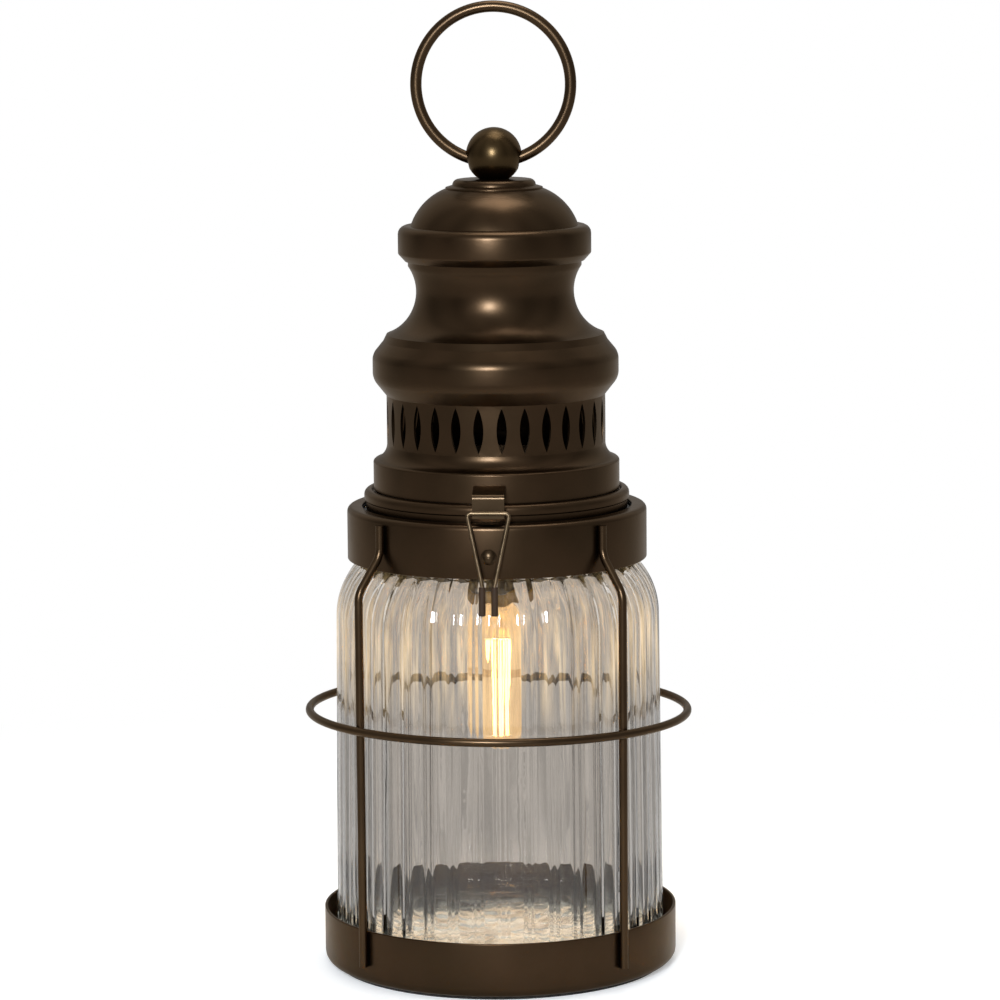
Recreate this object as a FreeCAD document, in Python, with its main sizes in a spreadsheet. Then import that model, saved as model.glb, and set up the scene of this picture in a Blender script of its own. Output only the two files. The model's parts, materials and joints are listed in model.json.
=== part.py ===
"""Lantern table lamp: a fluted glass jar held in a wire cage between a pressed pan and a
collar, under a vented metal chimney that opens on a back hinge.

All lengths are in millimetres and all angles in degrees. The origin is the centre of the
foot's underside, +Z is up and the latch faces -Y.
"""
import FreeCAD, Part
import math
import os
import re
import Sketcher

# Driving sizes: name, value, meaning.
SIZES = [
    ("foot_radius", 48.0, "felt foot under the pan"),
    ("foot_thickness", 1.0, "felt foot"),
    ("pan_height", 15.9, "pan, underside to rim"),
    ("pan_wall", 0.9, "pan sheet"),
    ("pan_corner", 2.75, "outside bend between the pan's floor and wall"),
    ("pan_clearance", 2.7, "between the jar's foot and the pan's wall"),
    ("seat_radius", 36.0, "cushion that the jar stands on"),
    ("seat_thickness", 2.0, "cushion that the jar stands on"),

    ("jar_radius", 47.0, "outside of the jar where the shoulder starts"),
    ("jar_draft", 0.9, "by how much the jar is wider at its foot"),
    ("jar_height", 128.3, "jar, foot to mouth"),
    ("jar_wall", 2.8, "glass wall"),
    ("jar_base", 4.5, "glass base"),
    ("jar_corner", 10.0, "outside radius round the foot"),
    ("shoulder_height", 94.1, "foot to the start of the shoulder"),
    ("shoulder_bend", 23.2, "outside radius of the shoulder"),
    ("neck_step", 6.7, "by how much the neck is narrower than the jar"),
    ("neck_wall", 3.9, "thickened glass of the neck"),
    ("flute_count", 40, "flutes round the jar"),
    ("flute_width", 5.4, "flute, edge to edge"),
    ("flute_depth", 0.7, "flute, into the wall"),

    ("gasket_thickness", 2.0, "seal between the mouth and the collar"),
    ("collar_clearance", 2.3, "between the neck and the collar's wall"),
    ("collar_wall", 0.8, "collar sheet"),
    ("collar_height", 15.3, "collar, edge to top"),
    ("collar_lap", 1.3, "by how much the collar's top covers the mouth's rim"),
    ("collar_round", 1.6, "outside bend at the collar's top"),

    ("cage_wire", 2.4, "thickness of the uprights"),
    ("cage_bend", 6.0, "centre-line bend of the uprights"),
    ("first_upright", 45.0, "angle from the latch to the first upright"),
    ("upright_drop", 1.8, "collar's top down to the upright's end"),
    ("upper_knee", 5.0, "collar's edge up to the upper bend"),
    ("lower_knee", 5.2, "collar's edge down to the lower bend"),
    ("upright_foot", 5.5, "pan's underside up to the upright's end"),
    ("hoop_wire", 2.4, "thickness of the guard hoop"),
    ("hoop_height", 73.9, "guard hoop's centre line above the table"),

    ("lid_wall", 0.8, "sheet of the chimney"),
    ("lid_gap", 1.7, "collar's top up to the rim's bead"),
    ("lid_seat_gap", 0.3, "skirt above the flange that it rests on"),
    ("skirt_clearance", 1.2, "between the skirt and the collar's opening"),
    ("rim_lap", 0.6, "by how much the bead stands out from the skirt"),
    ("rim_height", 3.3, "bead of the lid's rim"),
    ("rim_step", 2.2, "skirt in to the drum"),
    ("drum_height", 8.0, "straight drum above the rim"),
    ("flare_height", 4.8, "flare between the drum and the gallery"),
    ("flare_bend", 4.9, "radius of the flare"),
    ("gallery_step", 4.0, "drum in to the gallery"),
    ("gallery_height", 14.3, "slotted band"),
    ("slot_count", 30, "slots round the gallery"),
    ("slot_height", 13.0, "slot, tip to tip"),
    ("slot_width", 2.9, "slot at its middle"),
    ("bulge_step", 3.9, "gallery out to the bulge"),
    ("bulge_foot", 4.9, "height of the flare under the bulge"),
    ("bulge_height", 6.9, "straight band of the bulge"),
    ("cone_step", 3.1, "bulge in to the cone's top"),
    ("cone_height", 3.8, "cone above the bulge"),
    ("step_in", 1.0, "edge between the cone and the cove"),
    ("step_height", 2.0, "edge between the cone and the cove"),
    ("cove_height", 19.6, "hollow sweep up to the cap"),
    ("cove_bend", 13.0, "radius of the hollow sweep"),
    ("throat_radius", 25.0, "top of the hollow sweep"),
    ("spigot_height", 5.0, "sleeve that the cap slips over"),

    ("cap_lip", 0.8, "turned-in edge of the cap"),
    ("cap_tuck", 1.4, "cap's edge above the end of the cove"),
    ("cap_chamfer", 2.2, "height of the cap's lower chamfer"),
    ("band_step", 2.8, "throat out to the cap's band"),
    ("band_height", 8.0, "cap's band"),
    ("band_round", 0.6, "top edge of the band"),
    ("dome_step", 0.9, "throat in to the foot of the dome"),
    ("dome_height", 10.5, "dome"),
    ("dome_bend", 17.1, "radius of the dome"),
    ("cup_radius", 14.0, "stepped washer under the ball"),
    ("cup_step", 2.0, "washer's brim"),
    ("cup_brim", 1.0, "height of the washer's brim"),
    ("cup_height", 2.7, "washer"),
    ("cup_round", 2.4, "washer's rounded edge"),
    ("ball_radius", 8.0, "ball finial"),
    ("ball_foot", 4.2, "radius of the ball's flat foot"),
    ("ring_hole_drop", 1.2, "ball's centre down to the cross hole"),
    ("ring_clearance", 0.45, "between the carry ring and its hole"),
    ("ring_radius", 22.15, "centre line of the carry ring"),
    ("ring_wire", 3.3, "thickness of the carry ring"),
    ("screw_radius", 1.5, "screw that holds the ball"),
    ("screw_head", 2.9, "radius of that screw's head"),
    ("screw_head_height", 2.2, "height of that screw's head"),
    ("screw_reach", 2.1, "screw into the ball"),

    ("strap_thickness", 0.8, "sheet of the latch tab and hinge leaves"),
    ("strap_bend", 1.0, "centre-line bend of the tab and the leaf"),
    ("strap_foot", 3.7, "height of the foot on the drum"),
    ("strap_rise", 1.5, "rim's top up to that foot"),
    ("shelf_fall", 1.9, "slope of the shelf"),
    ("shelf_set_back", 1.4, "shelf's edge in from the knuckle's wall side"),
    ("tab_width", 9.0, "latch tab"),
    ("latch_stand_off", 0.8, "collar's face out to the latch pivot"),
    ("latch_rise", 3.5, "collar's top up to the latch pivot"),
    ("latch_wire_size", 1.0, "thickness of the latch wire"),
    ("latch_opening", 0.3, "latch pivot out to the hook's open face"),
    ("latch_side_gap", 0.3, "between the tab and the loop's corners"),
    ("latch_bend", 1.0, "centre-line bend at the loop's corners"),
    ("latch_length", 20.3, "pivot down to the sleeves"),
    ("latch_lean", 5.2, "angle by which the legs lean outwards"),
    ("leg_gap", 3.5, "between the legs' centre lines at the sleeves"),
    ("sleeve_length", 8.5, "grip sleeve"),
    ("sleeve_wall", 0.37, "grip sleeve"),
    ("sleeve_cover", 2.0, "closed end of the sleeve below the wire"),
    ("stud_radius", 2.25, "domed stud of the latch"),
    ("stud_height", 1.1, "domed stud of the latch"),
    ("stud_rise", 6.3, "collar's edge up to the stud"),
    ("rivet_shank", 1.0, "radius of every rivet's shank"),
    ("rivet_tail", 0.6, "height of every rivet's closed end"),
    ("rivet_head", 1.6, "radius of the hinge rivets' heads"),
    ("rivet_head_height", 0.8, "hinge rivets' heads"),
    ("rivet_rise", 3.6, "collar's edge up to the lower hinge rivet"),
    ("rivet_pitch", 6.0, "between the hinge rivets"),

    ("pin_radius", 0.9, "hinge pin"),
    ("pin_clearance", 0.05, "running fit of a pin in its knuckle"),
    ("pin_head", 1.4, "radius of the hinge pin's heads"),
    ("pin_head_height", 0.5, "hinge pin's heads"),
    ("hinge_rise", 2.0, "collar's top up to the hinge pin"),
    ("hinge_leaf_width", 6.0, "leaf on the lid"),
    ("hinge_side_gap", 0.3, "between neighbouring knuckles"),
    ("knuckle_length", 3.5, "each knuckle on the collar"),
    ("leaf_rise", 1.3, "collar's edge up to the fixed leaf"),

    ("case_clearance", 2.4, "between the battery case and the mouth"),
    ("case_rise", 8.8, "mouth's rim up to the top of the case"),
    ("case_depth", 11.2, "mouth's rim down to the case's floor"),
    ("flange_clearance", 0.4, "case's flange inside the collar's opening"),
    ("flange_thickness", 1.4, "case's flange"),
    ("case_round", 1.0, "edges of the case"),
    ("cell_count", 3, "cells side by side"),
    ("cell_radius", 5.25, "cell"),
    ("cell_length", 44.5, "cell with its button"),
    ("cell_button", 1.9, "radius of the button"),
    ("cell_button_height", 0.8, "height of the button"),
    ("cell_clearance", 0.15, "round each cell"),
    ("cell_pitch", 11.0, "from cell to cell"),
    ("contact_thickness", 0.5, "contact plates and springs"),
    ("contact_width", 7.0, "contact plates and springs"),
    ("spring_space", 4.5, "length left for a contact spring"),
    ("door_ledge", 1.0, "ledge round the battery pocket"),
    ("door_thickness", 1.5, "battery door"),
    ("door_corner", 3.0, "rounded corners of the battery door"),
    ("door_clearance", 0.3, "round the battery door and under it"),
    ("door_grip_height", 1.2, "grip bars on the door"),
    ("door_grip_width", 1.5, "grip bars on the door"),
    ("door_grip_length", 14.0, "grip bars on the door"),
    ("door_grip_pitch", 4.0, "between the grip bars"),
    ("switch_set_back", 24.5, "case's centre back to the switch"),
    ("switch_length", 6.0, "sliding button"),
    ("switch_width", 3.6, "sliding button"),
    ("switch_height", 3.0, "sliding button"),
    ("switch_depth", 2.0, "recess of the switch"),
    ("switch_travel", 3.0, "travel of the button"),
    ("switch_clearance", 0.3, "round the button"),

    ("holder_radius", 6.4, "lampholder"),
    ("holder_length", 15.0, "lampholder below the case"),
    ("holder_flange", 10.0, "radius of the lampholder's flange"),
    ("holder_flange_height", 2.0, "lampholder's flange"),
    ("holder_screw_place", 8.1, "lampholder's centre out to its screws"),
    ("holder_screw_radius", 0.9, "lampholder's screws"),
    ("holder_screw_head", 1.4, "lampholder's screw heads"),
    ("holder_screw_length", 6.0, "lampholder's screws"),
    ("holder_ring_radius", 7.1, "stepped ring at the lampholder's mouth"),
    ("holder_ring_height", 3.5, "stepped ring at the lampholder's mouth"),
    ("shell_wall", 0.35, "brass shell in the lampholder"),
    ("shell_depth", 11.5, "brass shell in the lampholder"),
    ("bulb_cap_radius", 4.9, "cap of the bulb"),
    ("bulb_cap_height", 9.6, "cap of the bulb"),
    ("bulb_cap_wall", 0.3, "cap of the bulb"),
    ("bulb_cap_clearance", 0.05, "cap of the bulb in its shell"),
    ("bulb_radius", 7.8, "glass of the bulb"),
    ("bulb_length", 43.1, "lampholder's mouth down to the bulb's tip"),
    ("bulb_wall", 0.6, "glass of the bulb"),
    ("bulb_neck_length", 1.2, "straight neck of the bulb below the cap"),
    ("bulb_shoulder", 7.0, "height of the bulb's shoulder"),
    ("bulb_shoulder_bend", 9.0, "radius of the bulb's shoulder"),
    ("stem_radius", 1.3, "glass stem in the bulb"),
    ("stem_length", 10.0, "glass stem in the bulb"),
    ("stem_flare", 1.4, "height of the stem's sealed flare"),
    ("filament_radius", 0.55, "light stick"),
    ("filament_length", 28.0, "light stick"),
    ("filament_circle", 2.6, "bulb's axis out to each light stick"),
    ("filament_count", 4, "light sticks"),
    ("lead_wire", 0.5, "crossed wires that hold the sticks"),
]
ALIASES = {alias for alias, value, meaning in SIZES}

# Places worked out from the sizes, each a formula in the names above or in this list.
PLACES = {
    "PAN_BOTTOM": "foot_thickness",
    "PAN_FLOOR": "PAN_BOTTOM + pan_wall",
    "PAN_RIM": "PAN_BOTTOM + pan_height",
    "PAN_RADIUS": "jar_radius + jar_draft + pan_clearance + pan_wall",
    "JAR_BOTTOM": "PAN_FLOOR + seat_thickness",
    "JAR_TOP": "JAR_BOTTOM + jar_height",
    "SHOULDER": "JAR_BOTTOM + shoulder_height",
    "SHOULDER_CENTRE": "jar_radius - shoulder_bend",
    "NECK_RADIUS": "jar_radius - neck_step",
    "MOUTH_RADIUS": "NECK_RADIUS - neck_wall",
    "NECK_FOOT": "SHOULDER + sqrt(pow(shoulder_bend; 2) - pow(NECK_RADIUS - SHOULDER_CENTRE; 2))",
    "INNER_BEND": "shoulder_bend - jar_wall",
    "MOUTH_FOOT": "SHOULDER + sqrt(pow(INNER_BEND; 2) - pow(MOUTH_RADIUS - SHOULDER_CENTRE; 2))",
    "FLUTE_RADIUS": "(pow(flute_width / 2; 2) + pow(flute_depth; 2)) / (2 * flute_depth)",
    "FLUTE_STAND_OFF": "FLUTE_RADIUS - flute_depth",

    "COLLAR_OPENING": "NECK_RADIUS - collar_lap",
    "COLLAR_INSIDE": "NECK_RADIUS + collar_clearance",
    "COLLAR_RADIUS": "COLLAR_INSIDE + collar_wall",
    "COLLAR_UNDERSIDE": "JAR_TOP + gasket_thickness",
    "COLLAR_TOP": "COLLAR_UNDERSIDE + collar_wall",
    "COLLAR_EDGE": "COLLAR_TOP - collar_height",
    "UPRIGHT_TOP_RADIUS": "COLLAR_RADIUS + cage_wire / 2",
    "UPRIGHT_FOOT_RADIUS": "PAN_RADIUS + cage_wire / 2",
    "UPRIGHT_TOP": "COLLAR_TOP - upright_drop",
    "HOOP_RADIUS": "PAN_RADIUS + cage_wire + hoop_wire / 2",

    "FLANGE_RADIUS": "COLLAR_OPENING - flange_clearance",
    "FLANGE_TOP": "JAR_TOP + flange_thickness",
    "SKIRT_EDGE": "FLANGE_TOP + lid_seat_gap",
    "SKIRT_RADIUS": "COLLAR_OPENING - skirt_clearance",
    "RIM_BOTTOM": "COLLAR_TOP + lid_gap",
    "RIM_TOP": "RIM_BOTTOM + rim_height",
    "RIM_RADIUS": "SKIRT_RADIUS + rim_lap",
    "DRUM_RADIUS": "SKIRT_RADIUS - rim_step",
    "DRUM_TOP": "RIM_TOP + drum_height",
    "GALLERY_RADIUS": "DRUM_RADIUS - gallery_step",
    "GALLERY_BOTTOM": "DRUM_TOP + flare_height",
    "GALLERY_TOP": "GALLERY_BOTTOM + gallery_height",
    "GALLERY_MIDDLE": "(GALLERY_BOTTOM + GALLERY_TOP) / 2",
    "SLOT_BEND": "(pow(slot_height / 2; 2) + pow(slot_width / 2; 2)) / slot_width",
    "BULGE_RADIUS": "GALLERY_RADIUS + bulge_step",
    "BULGE_BOTTOM": "GALLERY_TOP + bulge_foot",
    "BULGE_TOP": "BULGE_BOTTOM + bulge_height",
    "CONE_RADIUS": "BULGE_RADIUS - cone_step",
    "CONE_TOP": "BULGE_TOP + cone_height",
    "COVE_RADIUS": "CONE_RADIUS - step_in",
    "COVE_FOOT": "CONE_TOP + step_height",
    "COVE_TOP": "COVE_FOOT + cove_height",
    "CAP_EDGE": "COVE_TOP + cap_tuck",
    "BAND_BOTTOM": "CAP_EDGE + cap_chamfer",
    "BAND_TOP": "BAND_BOTTOM + band_height",
    "BAND_RADIUS": "throat_radius + band_step",
    "DOME_RADIUS": "throat_radius - dome_step",
    "DOME_TOP": "BAND_TOP + dome_height",
    "CUP_TOP": "DOME_TOP + cup_height",
    "BALL_CENTRE": "CUP_TOP + sqrt(pow(ball_radius; 2) - pow(ball_foot; 2))",
    "RING_HOLE": "BALL_CENTRE - ring_hole_drop",
    "RING_CHORD": "sqrt(pow(ring_radius; 2) - pow(ball_radius; 2))",
    "RING_SAG": "(ring_radius - RING_CHORD) / 2",
    "RING_CENTRE": "RING_HOLE - RING_SAG + ring_radius",
    "RING_HOLE_RADIUS": "RING_SAG + ring_wire / 2 + ring_clearance",

    "STRAP_MIDDLE": "DRUM_RADIUS + strap_thickness / 2",
    "STRAP_FOOT": "RIM_TOP + strap_rise",
    "SHELF": "STRAP_FOOT + strap_foot",
    "LATCH_OUT": "COLLAR_RADIUS + latch_stand_off",
    "LATCH_PIVOT": "COLLAR_TOP + latch_rise",
    "LATCH_BORE": "latch_wire_size / 2 + pin_clearance",
    "LATCH_KNUCKLE": "LATCH_BORE + strap_thickness",
    "LEG_TOP": "tab_width / 2 + latch_side_gap + latch_bend",
    "STUD_HEIGHT": "COLLAR_EDGE + stud_rise",
    "HINGE_BORE": "pin_radius + pin_clearance",
    "HINGE_KNUCKLE": "HINGE_BORE + strap_thickness",
    "HINGE_OUT": "COLLAR_RADIUS + HINGE_KNUCKLE",
    "HINGE_PIVOT": "COLLAR_TOP + hinge_rise",
    "KNUCKLE_START": "hinge_leaf_width / 2 + hinge_side_gap",
    "KNUCKLE_END": "KNUCKLE_START + knuckle_length",
    "LEAF_BOTTOM": "COLLAR_EDGE + leaf_rise",

    "CASE_RADIUS": "MOUTH_RADIUS - case_clearance",
    "CASE_TOP": "JAR_TOP + case_rise",
    "CASE_BOTTOM": "JAR_TOP - case_depth",
    "DOOR_BOTTOM": "CASE_TOP - door_thickness",
    "DOOR_SEAT": "DOOR_BOTTOM - door_clearance",
    "TROUGH_RADIUS": "cell_radius + cell_clearance",
    "CELL_AXIS": "DOOR_SEAT - TROUGH_RADIUS",
    "POCKET_LENGTH": "cell_length + contact_thickness + spring_space",
    "POCKET_WIDTH": "(cell_count - 1) * cell_pitch + 2 * TROUGH_RADIUS",
    "POCKET_END": "POCKET_LENGTH / 2",
    "DOOR_LENGTH": "POCKET_LENGTH + 2 * (door_ledge - door_clearance)",
    "DOOR_WIDTH": "POCKET_WIDTH + 2 * (door_ledge - door_clearance)",
    "SWITCH_FLOOR": "CASE_TOP - switch_depth",

    "HOLDER_MOUTH": "CASE_BOTTOM - holder_length",
    "HOLDER_FLANGE_BOTTOM": "CASE_BOTTOM - holder_flange_height",
    "SHELL_INSIDE": "bulb_cap_radius + bulb_cap_clearance",
    "SHELL_RADIUS": "SHELL_INSIDE + shell_wall",
    "SHELL_TOP": "HOLDER_MOUTH + shell_depth",
    "BULB_CAP_TOP": "HOLDER_MOUTH + bulb_cap_height",
    "BULB_NECK": "bulb_cap_radius - bulb_cap_wall",
    "BULB_NECK_FOOT": "HOLDER_MOUTH - bulb_neck_length",
    "BULB_SHOULDER": "BULB_NECK_FOOT - bulb_shoulder",
    "BULB_TIP": "HOLDER_MOUTH - bulb_length",
    "STEM_TOP": "HOLDER_MOUTH - bulb_wall",
    "STEM_BOTTOM": "STEM_TOP - stem_length",
    "FILAMENT_TOP": "STEM_BOTTOM - lead_wire",
    "FILAMENT_BOTTOM": "FILAMENT_TOP - filament_length",
}

LEFT, RIGHT = 1, -1
START, END, CENTRE = 1, 2, 3
AXES = {"X": FreeCAD.Vector(1, 0, 0), "Y": FreeCAD.Vector(0, 1, 0), "Z": FreeCAD.Vector(0, 0, 1)}

doc = FreeCAD.newDocument("lantern_table_lamp")
sheet = doc.addObject("Spreadsheet::Sheet", "Sizes")
for row, (alias, value, meaning) in enumerate(SIZES, start=1):
    sheet.set(f"A{row}", meaning)
    sheet.set(f"B{row}", str(value))
    sheet.setAlias(f"B{row}", alias)
doc.recompute()


def formula(text):
    """Write a formula out in full, in the sheet's own names."""
    def spell(match):
        word = match.group(0)
        if word in PLACES:
            return "(" + formula(PLACES[word]) + ")"
        if word in ALIASES:
            return "Sizes." + word
        return word
    return re.sub(r"[A-Za-z_]\w*", spell, text)


def number(text):
    """The present value of a formula."""
    return float(sheet.evalExpression(formula(text)))


# --- sketches -------------------------------------------------------------------------------

def new_body(label):
    body = doc.addObject("PartDesign::Body", label)
    body.Label = label
    return body


def new_sketch(body, plane, height=None):
    """A sketch on one of the body's own planes, raised above it where a height is given."""
    sketch = body.newObject("Sketcher::SketchObject", body.Name + "_sketch")
    support = next(part for part in body.Origin.OriginFeatures if part.Role == plane)
    sketch.AttachmentSupport = (support, [""])
    sketch.MapMode = "FlatFace"
    if height is not None:
        sketch.setExpression(".AttachmentOffset.Base.z", formula(height))
    return sketch


def hold(sketch, kind, places, name, text):
    """One driving dimension of a sketch, tied to its formula."""
    sketch.addConstraint(Sketcher.Constraint(kind, *places, number(text)))
    index = sketch.ConstraintCount - 1
    sketch.renameConstraint(index, name)
    sketch.setExpression("Constraints." + name, formula(text))


def hold_point(sketch, curve, end, name, across, up):
    hold(sketch, "DistanceX", (-1, 1, curve, end), name + "_across", across)
    hold(sketch, "DistanceY", (-1, 1, curve, end), name + "_up", up)


def arc_between(start, end, radius, side):
    """The short arc from start to end whose centre lies on the given side."""
    chord = end - start
    half = chord.Length / 2
    normal = FreeCAD.Vector(-chord.y, chord.x, 0).normalize() * side
    centre = (start + end) * 0.5 + normal * max(radius ** 2 - half ** 2, 0) ** 0.5
    first, last = (start, end) if side == LEFT else (end, start)
    circle = Part.Circle(centre, FreeCAD.Vector(0, 0, 1), radius)
    return Part.ArcOfCircle(circle, circle.parameter(first), circle.parameter(last))


def outline(sketch, corners):
    """A closed outline. A corner is (across, up), or (across, up, radius, side) where an arc
    leads from it to the next corner."""
    spots = [FreeCAD.Vector(number(corner[0]), number(corner[1]), 0) for corner in corners]
    ends = []
    for index, corner in enumerate(corners):
        start, end = spots[index], spots[(index + 1) % len(spots)]
        if len(corner) == 2:
            curve = sketch.addGeometry(Part.LineSegment(start, end), False)
            ends.append((curve, START, END))
        else:
            radius, side = corner[2:]
            curve = sketch.addGeometry(arc_between(start, end, number(radius), side), False)
            ends.append((curve, START, END) if side == LEFT else (curve, END, START))
    for index, (curve, start, end) in enumerate(ends):
        before, _, before_end = ends[index - 1]
        sketch.addConstraint(Sketcher.Constraint("Coincident", before, before_end, curve, start))
        hold_point(sketch, curve, start, f"corner{index}", *corners[index][:2])
        if len(corners[index]) == 4:
            hold(sketch, "Radius", (curve,), f"bend{index}", corners[index][2])


def route(sketch, corners, bend):
    """An open path of straight runs that meet in arcs of one radius."""
    spots = [FreeCAD.Vector(number(across), number(up), 0) for across, up in corners]
    radius = number(bend)
    runs, arcs = [], []
    leave = spots[0]
    for index in range(1, len(spots) - 1):
        into = (spots[index] - spots[index - 1]).normalize()
        away = (spots[index + 1] - spots[index]).normalize()
        reach = radius * math.tan(into.getAngle(away) / 2)
        side = LEFT if into.cross(away).z > 0 else RIGHT
        first, last = spots[index] - into * reach, spots[index] + away * reach
        runs.append(sketch.addGeometry(Part.LineSegment(leave, first), False))
        arcs.append((sketch.addGeometry(arc_between(first, last, radius, side), False), side))
        leave = last
    runs.append(sketch.addGeometry(Part.LineSegment(leave, spots[-1]), False))
    for index, (arc, side) in enumerate(arcs):
        first, last = (START, END) if side == LEFT else (END, START)
        sketch.addConstraint(Sketcher.Constraint("Tangent", runs[index], END, arc, first))
        sketch.addConstraint(Sketcher.Constraint("Tangent", arc, last, runs[index + 1], START))
        hold(sketch, "Radius", (arc,), f"bend{index + 1}", bend)
        knee = sketch.addGeometry(Part.Point(spots[index + 1]), True)
        hold_point(sketch, knee, START, f"corner{index + 1}", *corners[index + 1])
        sketch.addConstraint(Sketcher.Constraint("PointOnObject", knee, START, runs[index]))
        sketch.addConstraint(Sketcher.Constraint("PointOnObject", knee, START, runs[index + 1]))
    hold_point(sketch, runs[0], START, "first", *corners[0])
    hold_point(sketch, runs[-1], END, "last", *corners[-1])


def circle(sketch, across, up, radius, name="circle"):
    spot = FreeCAD.Vector(number(across), number(up), 0)
    shape = Part.Circle(spot, FreeCAD.Vector(0, 0, 1), number(radius))
    curve = sketch.addGeometry(shape, False)
    hold_point(sketch, curve, CENTRE, name, across, up)
    hold(sketch, "Radius", (curve,), name + "_radius", radius)


def box_corners(left, right, bottom, top):
    return [(left, bottom), (right, bottom), (right, top), (left, top)]


def rounded_box(right, top, bend):
    """A centred box with a quarter round at each corner."""
    across, up = f"({right} - {bend})", f"({top} - {bend})"
    return [
        ("-" + across, "-" + top), (across, "-" + top, bend, LEFT),
        (right, "-" + up), (right, up, bend, LEFT),
        (across, top), ("-" + across, top, bend, LEFT),
        ("-" + right, up), ("-" + right, "-" + up, bend, LEFT),
    ]


# --- features -------------------------------------------------------------------------------

def turn(body, corners, kind="PartDesign::Revolution"):
    """Turn an outline, drawn as (radius, height), about the body's Z axis."""
    sketch = new_sketch(body, "XZ_Plane")
    outline(sketch, corners)
    feature = body.newObject(kind, body.Name + "_turned")
    feature.Profile = sketch
    feature.ReferenceAxis = (sketch, ["V_Axis"])
    feature.Angle = 360
    return feature


def turned_body(label, corners):
    body = new_body(label)
    turn(body, corners)
    return body


def extrude(body, sketch, length, kind="PartDesign::Pad", midplane=False, backwards=False):
    feature = body.newObject(kind, body.Name + "_extruded")
    feature.Profile = sketch
    feature.setExpression("Length", formula(length))
    feature.Midplane = midplane
    feature.Reversed = backwards
    return feature


def pad(body, plane, corners, length, height=None, midplane=False):
    sketch = new_sketch(body, plane, height)
    outline(sketch, corners)
    return extrude(body, sketch, length, midplane=midplane)


def pocket(body, plane, corners, length, height=None, midplane=False, backwards=False):
    sketch = new_sketch(body, plane, height)
    outline(sketch, corners)
    return extrude(body, sketch, length, "PartDesign::Pocket", midplane, backwards)


def drill(body, plane, spots, radius, length, height=None, midplane=False, backwards=False):
    """Round holes at each (across, up) spot of a plane."""
    sketch = new_sketch(body, plane, height)
    for index, (across, up) in enumerate(spots):
        circle(sketch, across, up, radius, f"hole{index}")
    return extrude(body, sketch, length, "PartDesign::Pocket", midplane, backwards)


def repeat_round(body, feature, count):
    """Copy a feature all the way round the Z axis."""
    pattern = body.newObject("PartDesign::PolarPattern", body.Name + "_round")
    pattern.Originals = [feature]
    pattern.Axis = (feature.Profile[0], ["V_Axis"])
    pattern.Angle = 360
    pattern.setExpression("Occurrences", formula(count))
    body.Tip = pattern
    return pattern


def turn_placement(body, axis, angle):
    body.Placement = FreeCAD.Placement(body.Placement.Base, FreeCAD.Rotation(AXES[axis], 1.0))
    body.setExpression(".Placement.Rotation.Angle", formula(angle))


def move_placement(body, across="0", depth="0", up="0"):
    for letter, text in zip("xyz", (across, depth, up)):
        body.setExpression(f".Placement.Base.{letter}", formula(text))


def cylinder(label, radius, height, across="0", depth="0", up="0", axis="Z"):
    """A plain cylinder that starts at its place and runs along the given axis."""
    piece = doc.addObject("Part::Cylinder", label)
    piece.Label = label
    piece.setExpression("Radius", formula(radius))
    piece.setExpression("Height", formula(height))
    rotation = FreeCAD.Rotation(AXES["Z"], AXES[axis])
    piece.Placement = FreeCAD.Placement(FreeCAD.Vector(), rotation)
    move_placement(piece, across, depth, up)
    return piece


def block(label, length, width, height, across="0", depth="0", up="0"):
    """A plain box, centred across and in depth, with its underside at the given height."""
    piece = doc.addObject("Part::Box", label)
    piece.Label = label
    piece.setExpression("Length", formula(length))
    piece.setExpression("Width", formula(width))
    piece.setExpression("Height", formula(height))
    move_placement(piece, f"({across}) - ({length}) / 2", f"({depth}) - ({width}) / 2", up)
    return piece


def group(label, pieces, kind="Part::Compound"):
    """Several loose solids kept together, or joined into one with Part::MultiFuse."""
    whole = doc.addObject(kind, label)
    whole.Label = label
    if kind == "Part::Compound":
        whole.Links = pieces
    else:
        whole.Shapes = pieces
    return whole


def torus(label, radius, wire, up, axis="Z"):
    ring = doc.addObject("Part::Torus", label)
    ring.Label = label
    ring.setExpression("Radius1", formula(radius))
    ring.setExpression("Radius2", formula(f"({wire}) / 2"))
    ring.Placement = FreeCAD.Placement(FreeCAD.Vector(), FreeCAD.Rotation(AXES["Z"], AXES[axis]))
    move_placement(ring, up=up)
    return ring


# --- pan, jar and collar --------------------------------------------------------------------

def felt_foot():
    return cylinder("felt_foot", "foot_radius", "foot_thickness")


def base_pan():
    """Pressed pan: a flat floor and a straight wall joined by a round bend."""
    inner_bend = "pan_corner - pan_wall"
    return turned_body("base_pan", [
        ("0", "PAN_BOTTOM"),
        ("PAN_RADIUS - pan_corner", "PAN_BOTTOM", "pan_corner", LEFT),
        ("PAN_RADIUS", "PAN_BOTTOM + pan_corner"),
        ("PAN_RADIUS", "PAN_RIM"),
        ("PAN_RADIUS - pan_wall", "PAN_RIM"),
        ("PAN_RADIUS - pan_wall", "PAN_BOTTOM + pan_corner", inner_bend, RIGHT),
        ("PAN_RADIUS - pan_corner", "PAN_FLOOR"),
        ("0", "PAN_FLOOR"),
    ])


def jar_seat():
    return cylinder("jar_seat", "seat_radius", "seat_thickness", up="PAN_FLOOR")


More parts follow.
